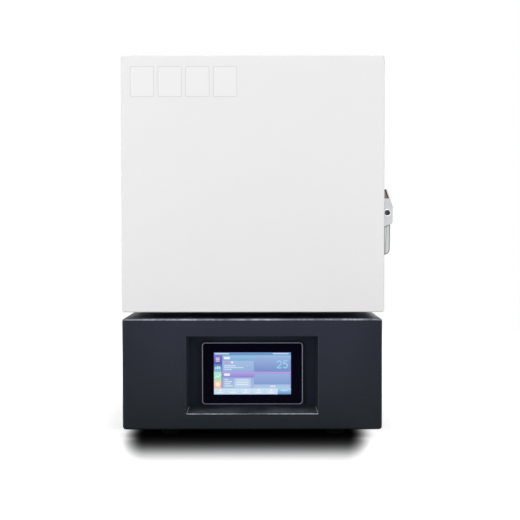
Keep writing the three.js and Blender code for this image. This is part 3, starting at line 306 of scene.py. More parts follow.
def dress(name, shells, body, finish, cut_edge=0, crease=CREASE):
    """A piece of the furnace: its mesh, its finish, softly broken edges, and the body that it rides on."""
    mesh = mesh_of(name, shells)
    mesh.materials.append(finishes[finish])
    mesh.polygons.foreach_set("use_smooth", np.ones(len(mesh.polygons), bool))
    mesh.set_sharp_from_angle(angle=math.radians(crease))
    made = placed(name, mesh)
    if cut_edge:
        broken = made.modifiers.new("broken_edges", "BEVEL")
        broken.width = cut_edge * MM
        broken.segments = 2
        broken.limit_method = "ANGLE"
        broken.angle_limit = math.radians(crease)
    flat = made.modifiers.new("flat_faces", "WEIGHTED_NORMAL")
    flat.keep_sharp = True
    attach(made, body)
    return made


def label_of(material):
    """A material's own name, without the number that Blender gives to a second one."""
    return material.name.split(".")[0]


def replace(node_name, name, shells, body="cabinet", cut_edge=0, crease=CREASE, finish=None):
    """A dressed piece that stands for one CAD node, in the finish of that node's slot or in another."""
    slot = label_of(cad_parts[node_name].material_slots[0].material)
    made = dress(name, shells, body, finish or slot, cut_edge, crease)
    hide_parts(node_name)
    return made


# Shader nodes
def fill(tree, made, inputs):
    """Fills a node's inputs with values or with other nodes' sockets."""
    for key, value in inputs.items():
        socket = made.inputs[key]
        if isinstance(value, bpy.types.NodeSocket):
            tree.links.new(value, socket)
        elif socket.type == "RGBA":
            socket.default_value = (*value[:3], 1)
        else:
            socket.default_value = value


def node(tree, kind, inputs=None, **settings):
    """A shader node with its settings and its inputs."""
    made = tree.nodes.new(f"ShaderNode{kind}")
    for key, value in settings.items():
        setattr(made, key, value)
    fill(tree, made, inputs or {})
    return made


def maths(tree, operation, *values):
    """The result socket of a Math node."""
    return node(tree, "Math", dict(enumerate(values)), operation=operation).outputs[0]


def times(tree, first, second):
    """The product of two values."""
    return maths(tree, "MULTIPLY", first, second)


def blend(tree, share, first, second):
    """A colour between two, by a share from 0 to 1."""
    return node(tree, "Mix", {0: share, 6: first, 7: second}, data_type="RGBA").outputs[2]


def stretch(tree, value, low, high, to_low=0.0, to_high=1.0, kind="LINEAR"):
    """A value's range from low to high spread over another range, and held at its ends."""
    values = {0: value, 1: low, 2: high, 3: to_low, 4: to_high}
    return node(tree, "MapRange", values, interpolation_type=kind).outputs[0]


def noise(tree, position, scale, detail):
    """A cloudy value round 0.5, whose clouds are 1 / scale metres wide."""
    return node(tree, "TexNoise", {"Vector": position, "Scale": scale, "Detail": detail}).outputs[0]


def toned(tree, colour, shade, first, second):
    """A colour times 1 + shade x (first - 0.5) + shade x (second - 0.5)."""
    swings = [times(tree, maths(tree, "SUBTRACT", value, 0.5), shade) for value in (first, second)]
    tone = maths(tree, "ADD", maths(tree, "ADD", *swings), 1.0)
    return node(tree, "VectorMath", {0: colour, "Scale": tone}, operation="SCALE").outputs[0]


def pulled(tree, position, strokes):
    """A position multiplied on each axis, which draws a texture out along the smaller factors."""
    return node(tree, "VectorMath", {0: position, 1: strokes}, operation="MULTIPLY").outputs[0]


def facing(tree):
    """The (x, y, z) of the true normal."""
    normal = node(tree, "NewGeometry").outputs["Normal"]
    return node(tree, "SeparateXYZ", {0: normal}).outputs


def effect(name, inputs, outputs):
    """An empty shader group with named sockets: its tree, its inputs, and a function for its outputs."""
    tree = bpy.data.node_groups.new(name, "ShaderNodeTree")
    kinds = {"vector": "NodeSocketVector", "colour": "NodeSocketColor", "number": "NodeSocketFloat"}
    for way, sockets in (("INPUT", inputs), ("OUTPUT", outputs)):
        for label, kind in sockets.items():
            tree.interface.new_socket(label, in_out=way, socket_type=kinds[kind])
    start = tree.nodes.new("NodeGroupInput")
    end = tree.nodes.new("NodeGroupOutput")

    def give(**values):
        fill(tree, end, values)
        return tree

    return tree, start.outputs, give


def coat_grain_effect():
    """Powder coat or moulded grain: rounded cells for the height, and slow clouds that shade the colour."""
    tree, given, give = effect(
        "coat_grain",
        {"Position": "vector", "Cells": "number", "Colour": "colour", "Shade": "number"},
        {"Colour": "colour", "Height": "number", "Cloud": "number"},
    )
    at = given["Position"]
    fine = noise(tree, at, given["Cells"], 2.0)
    cells = node(tree, "TexVoronoi", {"Vector": at, "Scale": given["Cells"]}, feature="SMOOTH_F1")
    cloud = noise(tree, at, 7.0, 3.0)
    height = maths(tree, "ADD", fine, times(tree, cells.outputs["Distance"], 0.6))
    return give(Colour=toned(tree, given["Colour"], given["Shade"], cloud, fine), Height=height, Cloud=cloud)


def edge_wear_effect():
    """Where an edge is close: the normal rounded over a width turns away from the true one."""
    tree, given, give = effect(
        "edge_wear", {"Position": "vector", "Width": "number", "Amount": "number"}, {"Mask": "number"}
    )
    rounded = node(tree, "Bevel", {"Radius": given["Width"]}, samples=4).outputs[0]
    true = node(tree, "NewGeometry").outputs["Normal"]
    along = node(tree, "VectorMath", {0: rounded, 1: true}, operation="DOT_PRODUCT").outputs["Value"]
    patchy = noise(tree, given["Position"], 160.0, 4.0)
    rubbed = times(tree, stretch(tree, along, 0.995, 0.86), stretch(tree, patchy, 0.35, 0.6))
    return give(Mask=times(tree, rubbed, given["Amount"]))


def dust_effect():
    """Fine dust that settles on what looks up, in uneven patches."""
    tree, given, give = effect(
        "settled_dust", {"Position": "vector", "Amount": "number"}, {"Mask": "number"}
    )
    level = stretch(tree, facing(tree)[2], 0.5, 0.95)
    patchy = noise(tree, given["Position"], 24.0, 6.0)
    return give(Mask=times(tree, times(tree, level, stretch(tree, patchy, 0.3, 0.75)), given["Amount"]))


def bend_wear_and_highlight_effect():
    """Where a bend leans between upright and level, it is painted pale in patches, as rubbed coat and as a
    painted highlight of the light from above.

    Bends that turn from the front to the left get only a faint painted highlight, of the light from the left.
    """
    tree, given, give = effect(
        "bend_wear_and_highlight", {"Position": "vector", "Amount": "number"}, {"Mask": "number"}
    )
    across, _, up = facing(tree)
    leaning = times(tree, stretch(tree, up, 0.05, 0.3), stretch(tree, up, 0.985, 0.9))
    faint = stretch(tree, across, -1.0, -0.9, 0.0, 0.06)
    leftward = times(tree, stretch(tree, across, -0.1, -0.4), faint)
    patchy = stretch(tree, noise(tree, given["Position"], 190.0, 5.0), 0.34, 0.62, 0.4, 1.0)
    slow = stretch(tree, noise(tree, given["Position"], 22.0, 2.0), 0.38, 0.6, 0.45, 1.0)
    bends = maths(tree, "MAXIMUM", leaning, leftward)
    return give(Mask=times(tree, times(tree, bends, times(tree, patchy, slow)), given["Amount"]))


def brushed_effect():
    """Drawn or brushed metal: noise pulled out along one axis, and faint stains."""
    tree, given, give = effect(
        "brushed_strokes",
        {"Position": "vector", "Strokes": "vector", "Colour": "colour", "Shade": "number"},
        {"Colour": "colour", "Height": "number", "Stain": "number"},
    )
    lines = noise(tree, pulled(tree, given["Position"], given["Strokes"]), 1.0, 3.0)
    stain = noise(tree, given["Position"], 40.0, 5.0)
    return give(Colour=toned(tree, given["Colour"], given["Shade"], lines, stain), Height=lines, Stain=stain)


def fibre_mat_effect():
    """Pressed ceramic fibre: crossed strands over a lumpy felt, a little browner in the hollows."""
    tree, given, give = effect(
        "fibre_mat",
        {"Position": "vector", "Colour": "colour", "Stain": "colour"},
        {"Colour": "colour", "Height": "number"},
    )
    first, second, third = (
        noise(tree, pulled(tree, given["Position"], strokes), 1.0, 2.0)
        for strokes in ((2600.0, 420.0, 900.0), (420.0, 2600.0, 700.0), (700.0, 500.0, 2600.0))
    )
    lumps = noise(tree, given["Position"], 90.0, 5.0)
    strands = maths(tree, "MAXIMUM", maths(tree, "MAXIMUM", first, second), third)
    hollow = stretch(tree, lumps, 0.62, 0.36, 0.0, 0.35)
    return give(
        Colour=blend(tree, hollow, given["Colour"], given["Stain"]),
        Height=maths(tree, "ADD", strands, times(tree, lumps, 0.8)),
    )


coat_grain = coat_grain_effect()
edge_wear = edge_wear_effect()
settled_dust = dust_effect()
bend_wear_and_highlight = bend_wear_and_highlight_effect()
brushed_strokes = brushed_effect()
fibre_mat = fibre_mat_effect()


# Materials
def srgb(red, green, blue):
    """A colour written as it looks on screen, 0 to 255, as linear light."""
    share = np.array([red, green, blue]) / 255
    linear = np.where(share <= 0.04045, share / 12.92, ((share + 0.055) / 1.055) ** 2.4)
    return tuple(float(value) for value in linear)


def empty_material(name):
    """A material without nodes, and its node tree."""
    made = bpy.data.materials.new(name)
    made.use_nodes = True
    made.node_tree.nodes.clear()
    return made, made.node_tree


def new_material(name):
    """A material with a Principled shader: itself, its tree, the shader and the Object coordinates."""
    made, tree = empty_material(name)
    shader = node(tree, "BsdfPrincipled")
    node(tree, "OutputMaterial", {0: shader.outputs[0]})
    return made, tree, shader, node(tree, "TexCoord").outputs["Object"]


def grouped(tree, group, **inputs):
    """The outputs of one of the shared effects, placed in a material."""
    return node(tree, "Group", inputs, node_tree=group).outputs


def relief(tree, height, depth):
    """The normal of a height field whose full swing is depth millimetres."""
    return node(tree, "Bump", {"Height": height, "Distance": depth * MM}).outputs[0]


def coat(
    name, colour, roughness, cell, depth, shade, worn, wear=0.0, dust=0.0, metallic=0.0, specular=0.5,
    rub=0.0, painted_shade=None,
):
    """Powder coat, moulded plastic, rubber or fired ceramic: grain, worn edges, settled dust, and on some a
    painted highlight on bends and painted shade.

    cell and depth are the grain's size and relief in millimetres, shade is how much its colour varies, and
    worn is the colour of its edges. painted_shade is the colour of a painted shade that darkens the case
    toward the bench, and the left and right edges of the base are painted darker still. rub is how much the
    bends are painted pale, as rubbed coat and painted highlight.
    """
    made, tree, shader, at = new_material(name)
    grain = grouped(tree, coat_grain, Position=at, Cells=1 / (cell * MM), Colour=colour, Shade=shade)
    finish = grain["Colour"]
    # Painted shade: the case darkens toward the bench, and toward near black at the base's left and right
    # edges.
    if painted_shade:
        across, _, up = node(tree, "SeparateXYZ", {0: at}).outputs
        finish = blend(tree, stretch(tree, up, 0.165, 0.025, 0.0, 0.7), finish, painted_shade)
        aside = stretch(tree, maths(tree, "ABSOLUTE", across), 0.13, 0.195, 0.0, 0.25)
        finish = blend(tree, aside, finish, (0.002, 0.003, 0.003))
    if wear:
        rubbed = grouped(tree, edge_wear, Position=at, Width=0.0012, Amount=wear)["Mask"]
        finish = blend(tree, rubbed, finish, worn)
    if dust:
        settled = grouped(tree, settled_dust, Position=at, Amount=dust)["Mask"]
        finish = blend(tree, settled, finish, srgb(168, 171, 180))
    # Painted highlight and rubbed coat: bends that lean up, and faintly those that turn to the left, are
    # painted pale in patches.
    if rub:
        thin = grouped(tree, bend_wear_and_highlight, Position=at, Amount=rub)["Mask"]
        finish = blend(tree, thin, finish, srgb(198, 204, 218))
    fill(tree, shader, {
        "Base Color": finish,
        "Roughness": stretch(tree, grain["Cloud"], 0.3, 0.7, roughness - 0.05, roughness + 0.06),
        "Metallic": metallic,
        "Specular IOR Level": specular,
        "Normal": relief(tree, grain["Height"], depth),
    })
    return made


def metal(name, colour, roughness, strokes, depth, shade, worn, wear):
    """Bare or plated metal with strokes, stains and brighter edges."""
    made, tree, shader, at = new_material(name)
    brushed = grouped(tree, brushed_strokes, Position=at, Strokes=strokes, Colour=colour, Shade=shade)
    rubbed = grouped(tree, edge_wear, Position=at, Width=0.0008, Amount=wear)["Mask"]
    fill(tree, shader, {
        "Base Color": blend(tree, rubbed, brushed["Colour"], worn),
        "Roughness": stretch(tree, brushed["Stain"], 0.3, 0.7, roughness - 0.08, roughness + 0.1),
        "Metallic": 1.0,
        "Normal": relief(tree, brushed["Height"], depth),
    })
    return made


def cast(name, colour, side, roughness, bare=1.0, outer=False):
    """Plated zinc casting: flat fronts are pale, and sides and corners are painted darker and less metallic,
    as painted shade and painted dark reflection.

    bare is how metallic the painted dark sides stay. With outer only the side away from the cabinet
    and the lower end are painted dark, as shade where the light doesn't fall. Crevices are painted darker
    still, as painted shade.
    """
    made, tree, shader, at = new_material(name)
    brushed = grouped(tree, brushed_strokes, Position=at, Strokes=CAST_STROKES, Colour=colour, Shade=0.12)
    normal = node(tree, "TexCoord").outputs["Normal"]
    across, along, up = node(tree, "SeparateXYZ", {0: normal}).outputs
    # Painted shade and painted dark reflection: the sides, or with outer the side away from the cabinet and
    # the lower end, take the dark side colour.
    if outer:
        shaded_side = stretch(tree, maths(tree, "MAXIMUM", across, times(tree, up, -1.0)), 0.12, 0.34)
    else:
        shaded_side = stretch(tree, maths(tree, "ABSOLUTE", along), 0.97, 0.72)
    rubbed = grouped(tree, edge_wear, Position=at, Width=0.0004, Amount=0.35)["Mask"]
    # Painted shade: crevices found by ambient occlusion are darkened toward a dark grey.
    crevice_shade = node(tree, "AmbientOcclusion", {"Distance": 0.005}, samples=8).outputs["AO"]
    finish = blend(tree, maths(tree, "MAXIMUM", shaded_side, rubbed), brushed["Colour"], side)
    fill(tree, shader, {
        "Base Color": blend(tree, stretch(tree, crevice_shade, 0.85, 0.5, 0.0, 0.9), finish, srgb(66, 67, 64)),
        "Roughness": stretch(tree, shaded_side, 0.0, 1.0, roughness, roughness + 0.2),
        "Metallic": stretch(tree, shaded_side, 0.0, 1.0, 1.0, bare),
        "Normal": relief(tree, brushed["Height"], 0.02),
    })
    return made


def fibre(name, colour, stain, depth):
    """Ceramic fibre board or tape."""
    made, tree, shader, at = new_material(name)
    felt = grouped(tree, fibre_mat, Position=at, Colour=colour, Stain=stain)
    fill(tree, shader, {
        "Base Color": felt["Colour"],
        "Roughness": 0.95,
        "Specular IOR Level": 0.2,
        "Sheen Weight": 0.15,
        "Normal": relief(tree, felt["Height"], depth),
    })
    return made


def coated_glass(name):
    """Touch glass with a dim coating and faint smears, in the parts that new_material gives."""
    made, tree, shader, at = new_material(name)
    gloss = stretch(tree, noise(tree, at, 55.0, 4.0), 0.4, 0.75, 0.05, 0.16)
    fill(tree, shader, {"Roughness": gloss, "Specular IOR Level": 0.018})
    return made, tree, shader, at


def touch_glass(name):
    """Black-backed touch glass with a few specks of dust."""
    made, tree, shader, at = coated_glass(name)
    specks = node(tree, "TexVoronoi", {"Vector": at, "Scale": 420.0}).outputs["Distance"]
    speck = times(tree, stretch(tree, specks, 0.07, 0.03), 0.05)
    fill(tree, shader, {"Base Color": blend(tree, speck, srgb(3, 0, 21), srgb(120, 122, 130))})
    return made


def screen_face(name):
    """The lit screen: its colours are painted on the mesh and shine through the same coated glass."""
    made, tree, shader, _ = coated_glass(name)
    painted = node(tree, "Attribute", attribute_name="paint").outputs["Color"]
    glow = {"Base Color": (0.004, 0.004, 0.006), "Emission Color": painted, "Emission Strength": 1.0}
    fill(tree, shader, glow)
    return made


FINE_STROKES = (2200.0, 90.0, 2200.0)
DRAWN_STROKES = (1500.0, 1500.0, 120.0)
CAST_STROKES = (900.0, 900.0, 900.0)
WOUND_STROKES = (120.0, 120.0, 1600.0)

# A coat's numbers are its roughness, cell, depth, shade, worn colour and wear, as in coat() above
finishes = {label_of(made): made for made in (
    coat(
        "white_coat", (0.845, 0.837, 0.843), 0.5, 1.3, 0.012, 0.018, srgb(196, 196, 198), 0.35, 0.1,
        specular=0.25,
    ),
    # The charcoal coat has a painted highlight on its bends and painted shade toward the bench and the base's
    # sides.
    coat(
        "charcoal_coat", (0.0248, 0.027, 0.0425), 0.45, 0.55, 0.03, 0.3, srgb(96, 100, 110), 0.3, 0.16,
        specular=0.1, rub=1.0, painted_shade=(0.0135, 0.0205, 0.0215),
    ),
    coat("black_coat", (0.0115, 0.0175, 0.031), 0.55, 0.5, 0.02, 0.2, srgb(60, 62, 68), specular=0.14),
    coat("dark_steel", (0.045, 0.05, 0.065), 0.42, 0.8, 0.01, 0.3, srgb(150, 152, 156), 0.5, metallic=0.7),
    # The plinth's coat is lighter than the real frame, as painted light in the shaded gap under the door.
    coat("plinth_lightened_coat", (0.07, 0.08, 0.125), 0.6, 0.6, 0.02, 0.2, srgb(96, 100, 110), 0.2),
    coat("black_plastic", (0.012, 0.012, 0.014), 0.48, 0.7, 0.012, 0.3, srgb(70, 70, 72), 0.2),
    coat("foot_rubber", (0.004, 0.0042, 0.005), 0.85, 0.45, 0.03, 0.35, srgb(40, 40, 42), 0.2, specular=0.1),
    coat("hearth_ceramic", (0.74, 0.68, 0.57), 0.85, 0.9, 0.06, 0.25, srgb(240, 232, 214), 0.4),
    coat("element_ceramic", (0.15, 0.14, 0.14), 0.4, 1.1, 0.02, 0.5, srgb(150, 140, 128), 0.2),
    coat("holder_ceramic", (0.78, 0.72, 0.58), 0.55, 0.8, 0.02, 0.15, srgb(250, 244, 230), 0.3),
    coat("core_iron", (0.07, 0.07, 0.08), 0.5, 1.2, 0.02, 0.35, srgb(120, 112, 104), 0.4, metallic=0.5),
    coat("label_film", (0.86, 0.855, 0.86), 0.5, 2.4, 0.002, 0.01, srgb(200, 200, 200), specular=0.3),
    coat("label_line", (0.52, 0.52, 0.54), 0.35, 1.2, 0.004, 0.05, srgb(150, 150, 150)),
    coat("marking_white", (0.75, 0.75, 0.74), 0.45, 0.8, 0.004, 0.04, srgb(200, 200, 200)),
    metal("zinc_steel", (0.52, 0.54, 0.56), 0.38, DRAWN_STROKES, 0.006, 0.25, (0.7, 0.7, 0.7), 0.3),
    metal("bright_bush", (0.86, 0.86, 0.87), 0.3, CAST_STROKES, 0.004, 0.1, (0.9, 0.9, 0.9), 0.1),
    metal("bezel_grey", (0.135, 0.142, 0.175), 0.35, FINE_STROKES, 0.004, 0.2, (0.4, 0.4, 0.42), 0.3),
    metal("aluminium_part", (0.56, 0.57, 0.59), 0.36, FINE_STROKES, 0.008, 0.2, (0.75, 0.75, 0.77), 0.3),
    metal("coil_copper", (0.33, 0.1, 0.02), 0.4, WOUND_STROKES, 0.12, 0.5, (0.6, 0.3, 0.1), 0.2),
    metal("spring_bronze", (0.285, 0.21, 0.2), 0.4, DRAWN_STROKES, 0.005, 0.3, (0.5, 0.4, 0.36), 0.3),
    # A casting's second colour is the painted shade and dark reflection on its sides.
    cast("cast_metal", (0.575, 0.58, 0.595), (0.11, 0.113, 0.107), 0.42),
    cast("lever_metal", (0.545, 0.555, 0.56), (0.075, 0.078, 0.072), 0.45, 0.3, True),
    fibre("ceramic_fibre", (0.84, 0.82, 0.76), (0.62, 0.55, 0.43), 0.5),
    fibre("rope_seal", (0.68, 0.64, 0.55), (0.45, 0.39, 0.29), 0.35),
    touch_glass("black_glass"),
    screen_face("screen_face"),
)}


def dress_frame():
    """Gives every CAD node that stays in view the finish of its own material slot, and the plinth a coat
    lighter than its real one, as painted light in the shaded gap under the door.
    """
    for cad_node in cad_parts.values():
        for held in cad_node.material_slots:
            held.material = finishes.get(label_of(held.material), held.material)
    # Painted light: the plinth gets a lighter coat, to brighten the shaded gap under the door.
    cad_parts["plinth_frame"].material_slots[0].material = finishes["plinth_lightened_coat"]


# Base
FOOT_RADIUS = 17.0
FOOT_TIP = 14.0
FOOT_TREAD = 1.5
FOOT_RECESS = 6.0
FOOT_RECESS_DEPTH = 5.0
AXIS_HOLE = 0.01
SCREW = 3.4
SCREW_HEIGHT = 2.0
SCREW_SIDES = 48


def base_case():
    """The folded base cover: pocket wall, mouth bend, front face, front bend and sides, then back inside.

    Each row is a rounded rectangle, and the rows follow the sheet's section from the pocket's inner end
    round to its outer skin. The bottom is cut away behind the front lip, between the two side lips.
    """
    outer, (_, back) = front_of("base_shell")
    x0, x1, z0, z1 = RECESS_MOUTH
    draft = RECESS_SIDE_DRAFT
    end = (x0 + draft, x1 - draft, z0 + RECESS_FLOOR_RISE, z1 - draft)
    belly = (outer[1] - outer[0]) / 2 - LIP

    def pocket_row(box, inset, y):
        return inset_loop(box, inset, y, RECESS_CORNER, RECESS_CORNER, belly)

    def case_row(inset, y):
        return inset_loop(outer, inset, y, BASE_UPPER_CORNER, BASE_LOWER_CORNER, belly)

    rows = [pocket_row(end, 0, RECESS_DEPTH)]
    rows += [pocket_row(RECESS_MOUTH, -inset, depth) for inset, depth in bend(MOUTH_BEND)[::-1]]
    rows += [case_row(inset, depth) for inset, depth in bend(BASE_BEND)]
    rows += [case_row(0, LIP)]
    outer_lip = len(rows) - 1
    rows += [case_row(0, back), case_row(SHEET, back), case_row(SHEET, LIP)]
    inner_lip = len(rows) - 1
    rows += [case_row(SHEET + inset, SHEET + depth) for inset, depth in bend(BASE_BEND - SHEET)[::-1]]
    rows += [pocket_row(RECESS_MOUTH, -SHEET, SHEET), pocket_row(end, -SHEET, RECESS_DEPTH)]
    return [open_belly(rows, outer_lip, inner_lip, True)]


def open_belly(rows, outer_lip, inner_lip, front_lip):
    """A folded case through its rows, without the bottom strip from the outer lip row round to the inner one.

    The cut's left and right edges are closed. Its front edge is closed only where the case has a front lip.
    """
    points, quads, _ = loft(rows, ring=True)
    around = len(rows[0])
    left = 3 * (CORNER_STEPS + 1)
    cut = range(outer_lip, inner_lip if front_lip else inner_lip + 1)
    kept = np.delete(quads, [row * around + left for row in cut], axis=0)
    left_edge = [row * around + left for row in (outer_lip, inner_lip, inner_lip - 1, outer_lip + 1)]
    edges = [left_edge, [corner + 1 for corner in left_edge[::-1]]]
    if front_lip:
        outer, inner = left_edge[:2]
        edges.append([outer, outer + 1, inner + 1, inner])
    return points, np.vstack([kept, edges]), []


def foot(x, y):
    """A turned rubber foot: tapered wall with a groove, rounded tread and a recess for its screw."""
    top = base_box[0][2]
    tread = arc((FOOT_TIP - FOOT_TREAD, FOOT_TREAD), FOOT_TREAD, -90, 0, 6)
    groove = arc((15.9, 7.0), 0.8, -100, -260, 8)
    profile = [(AXIS_HOLE, FOOT_RECESS_DEPTH), (FOOT_RECESS, FOOT_RECESS_DEPTH), (FOOT_RECESS, 0.4)]
    profile += [(FOOT_RECESS + 0.4, 0.0), *tread, (15.4, 6.2), *groove, (15.6, 7.8)]
    profile += [(FOOT_RADIUS - 0.5, top - 1.2), (FOOT_RADIUS, top - 0.8)]
    profile += [(FOOT_RADIUS, top - 0.02), (AXIS_HOLE, top - 0.02)]
    return lathe(profile, (x, y, 0.0))


def hexagon_reach(angles, flat):
    """How far a hexagon reaches at each angle: flat / cos of the angle from its flat's middle."""
    return flat / np.cos((angles % (np.pi / 3)) - np.pi / 6)


def cross_reach(angles, radius):
    """How far a screw's cross reaches at each angle: to its arm's end or to its arm's side."""
    turn = np.abs((angles + np.pi / 4) % (np.pi / 2) - np.pi / 4)
    return np.minimum(0.58 * radius / np.cos(turn), 0.13 * radius / np.maximum(np.sin(turn), 1e-6))


def screw(x, y, z, axis, way, radius=SCREW, height=SCREW_HEIGHT):
    """A pan-head screw: rows round its dome, then rows down into its recess, each a loop about the axis.

    The dome rises from 0.35 of the height, and its flat top is 0.66 of the radius wide.
    """
    reach = cross_reach(angles_round(SCREW_SIDES), radius)
    rows = [(radius, 0.0)]
    for t in np.linspace(0, np.pi / 2, 5)[:-1]:
        rows.append((radius * math.cos(0.75 * t), height * (0.35 + 0.65 * math.sin(t))))
    rows += [(0.66 * radius, height), (reach, height), (reach * 0.85, height * 0.3)]
    return lathe([(far, rise * way) for far, rise in rows], (x, y, z), axis, SCREW_SIDES)


def build_base():
    replace("base_shell", "base_case", base_case(), cut_edge=SHEET_EDGE, crease=FOLDED_CREASE)
    for place in ("front_left", "front_right", "rear_left", "rear_right"):
        x, y, _ = middle_of(f"foot_{place}")
        shells = [foot(x, y), screw(x, y, FOOT_RECESS_DEPTH - 0.1, "z", -1, 4.2, 2.4)]
        replace(f"foot_{place}", f"rubber_foot_{place}", shells)


# Display
BEZEL_RING = 1.75
BEZEL_CORNER = 5.5
BEZEL_SOFT = 0.45
BEZEL_SEAT = 6.0
WINDOW_CORNER = 0.5
GLASS_EDGE = 0.6
SCREEN_WIDTH = 120.4
SCREEN_HEIGHT = 65.9
SCREEN_CELL = 0.55
TOOL_COUNT = 5
TOOL_PITCH = 19.95

# Sheets of the screen: box from its upper left corner in millimetres, corner radius, upper and lower colour
SCREEN_SHEETS = {
    "status": ((0, 120.4, 0, 4.6), 0, (122, 158, 208), (104, 142, 196)),
    "menu": ((12.2, 120.4, 4.4, 56.4), 0, (122, 146, 198), (134, 158, 206)),
    "tab_one": ((0, 12.0, 4.6, 17.4), 0, (134, 118, 196), (96, 90, 178)),
    "tab_two": ((0, 12.0, 17.6, 30.0), 0, (88, 118, 176), (136, 186, 220)),
    "tab_three": ((0, 12.0, 30.2, 43.6), 0, (176, 228, 214), (160, 226, 192)),
    "tab_four": ((0, 12.0, 43.8, 56.2), 0, (242, 210, 176), (242, 190, 160)),
    "upper_head": ((13.4, 120.0, 4.6, 12.6), 0, (148, 198, 228), (134, 170, 214)),
    "upper_left": ((13.4, 62.4, 12.8, 30.2), 0, (162, 190, 226), (148, 176, 218)),
    "upper_right": ((62.6, 119.2, 7.6, 30.2), 5.0, (154, 178, 220), (120, 142, 202)),
    "lower_head": ((13.4, 120.0, 30.4, 39.2), 0, (178, 166, 224), (146, 132, 210)),
    "lower_left": ((13.4, 62.4, 39.4, 56.2), 0, (154, 180, 220), (164, 190, 226)),
    "lower_box": ((31.8, 57.4, 40.6, 55.0), 1.2, (180, 202, 232), (190, 210, 236)),
    "lower_right": ((62.6, 119.2, 33.8, 50.2), 5.0, (154, 176, 220), (132, 156, 208)),
    "lower_band": ((62.6, 119.2, 50.2, 56.2), 0, (166, 192, 228), (176, 200, 230)),
    "tools": ((0, 99.8, 56.4, 65.9), 0, (210, 228, 244), (196, 218, 242)),
    "tool_last": ((99.9, 120.4, 56.4, 65.9), 0, (168, 216, 238), (106, 138, 198)),
}

# Bars of the screen by their colour: box from its upper left corner
SCREEN_BARS = {
    (222, 232, 246): [(2.0, 24.0, 1.4, 2.9), (92.0, 117.0, 1.4, 2.9)],
    (240, 246, 252): [(16.0, 25.0, 7.0, 10.6)],
    (218, 132, 200): [(16.0, 24.0, 14.8, 16.4)],
    (226, 234, 246): [(16.0, 34.0, 20.2, 21.6)],
    (214, 226, 244): [(16.0, 46.0, 23.2, 24.4), (16.0, 28.0, 26.0, 27.2)],
    (240, 240, 252): [(16.0, 25.0, 33.0, 36.6)],
    (222, 232, 244): [
        (16.6, 22.0, 41.6, 43.0), (16.6, 28.0, 45.0, 46.4), (16.6, 26.0, 48.4, 49.8), (16.6, 29.6, 51.8, 53.2)
    ],
    (214, 226, 242): [(35.0, 54.0, 42.4, 44.0)],
    (226, 236, 246): [(35.0, 54.0, 46.0, 47.6), (35.0, 54.0, 49.6, 51.2)],
    (226, 236, 250): [(88.0, 96.0, 52.2, 54.0)],
    (196, 222, 244): [(105.0, 115.0, 58.6, 60.2)],
    (236, 234, 250): [(3.0, 9.0, 8.2, 9.4), (3.0, 9.0, 10.6, 11.8), (3.0, 9.0, 13.0, 14.2)],
    (230, 240, 250): [(2.2, 4.0, 23.0, 26.0), (5.2, 7.0, 21.4, 26.0), (8.2, 10.0, 22.2, 26.0)],
}
SCREEN_CURVE = ((2.0, 40.0), (4.8, 36.6), (7.0, 38.4), (10.2, 34.6))
DIGIT_PLACES = (98.6, 108.2)
DIGIT_BASE = 24.4
DIGIT_SIZE = (6.6, 11.0)


def bezel_frame():
    """The thin metal ring round the glass: its section is carried round a rounded rectangle."""
    box, (y0, y1) = front_of("display_bezel")
    ring, soft, eased_edge = BEZEL_RING, BEZEL_SOFT, 0.13
    profile = [(0.0, y1), (0.0, y0 + soft), (eased_edge, y0 + eased_edge), (soft, y0), (ring - soft, y0)]
    profile += [(ring - eased_edge, y0 + eased_edge), (ring, y0 + soft), (ring, y1 - 2.0)]
    profile += [(ring + BEZEL_SEAT, y1 - 2.0), (ring + BEZEL_SEAT, y1)]
    return [loft([inset_loop(box, inset, y, BEZEL_CORNER) for inset, y in profile], ring=True)]


def screen_box():
    """The box of the lit part of the screen, in the middle of the glass."""
    x, _, z = middle_of("display_glass")
    return (x - SCREEN_WIDTH / 2, x + SCREEN_WIDTH / 2, z - SCREEN_HEIGHT / 2, z + SCREEN_HEIGHT / 2)


def glass_plate():
    """The touch glass: a shallow window for the lit screen, a flat face and a softly rounded outer edge."""
    box, (y0, y1) = front_of("display_glass")
    corner = BEZEL_CORNER - BEZEL_RING
    rows = [inset_loop(screen_box(), 0, y, WINDOW_CORNER) for y in (y0 + 0.1, y0)]
    rows += [inset_loop(box, inset, y0 + depth, corner) for inset, depth in bend(GLASS_EDGE)]
    rows += [inset_loop(box, 0, y1, corner)]
    return [loft(rows)]


def box_mask(u, v, box, radius=0.0, soft=0.35):
    """1 inside a rounded box and 0 outside, with an edge that fades over soft millimetres.

    The distance is |max(q, 0)| + min(max(q), 0) - r, with q the distance past the box's straight part.
    """
    u0, u1, v0, v1 = box
    across = np.abs(u - (u0 + u1) / 2) - (u1 - u0) / 2 + radius
    down = np.abs(v - (v0 + v1) / 2) - (v1 - v0) / 2 + radius
    far = np.hypot(np.maximum(across, 0), np.maximum(down, 0))
    distance = far + np.minimum(np.maximum(across, down), 0) - radius
    return np.clip(0.5 - distance / soft, 0, 1)


def stroke_mask(u, v, start, end, half, soft):
    """1 along a straight stroke with round ends: the distance to a line less its half width."""
    (u0, v0), (u1, v1) = start, end
    run = (u1 - u0, v1 - v0)
    share = np.clip(((u - u0) * run[0] + (v - v0) * run[1]) / (run[0] ** 2 + run[1] ** 2), 0, 1)
    distance = np.hypot(u - u0 - share * run[0], v - v0 - share * run[1]) - half
    return np.clip(0.5 - distance / soft, 0, 1)


def digit_two():
    """A 2 one unit wide and high: an arch, a slope and a foot."""
    return np.vstack([arc((0.5, 0.7), 0.5, 160, -35, 10) * (1, 0.6) + (0, 0.28), [(0.0, 0.0), (1.0, 0.0)]])


def digit_five():
    """A 5 one unit wide and high: a flag, an upright and a bowl."""
    bowl = arc((0.48, 0.33), 0.5, 130, -140, 12)
    bowl[:, 1] = 0.33 + (bowl[:, 1] - 0.33) * 0.66
    return np.vstack([[(0.95, 1.0), (0.2, 1.0)], bowl])


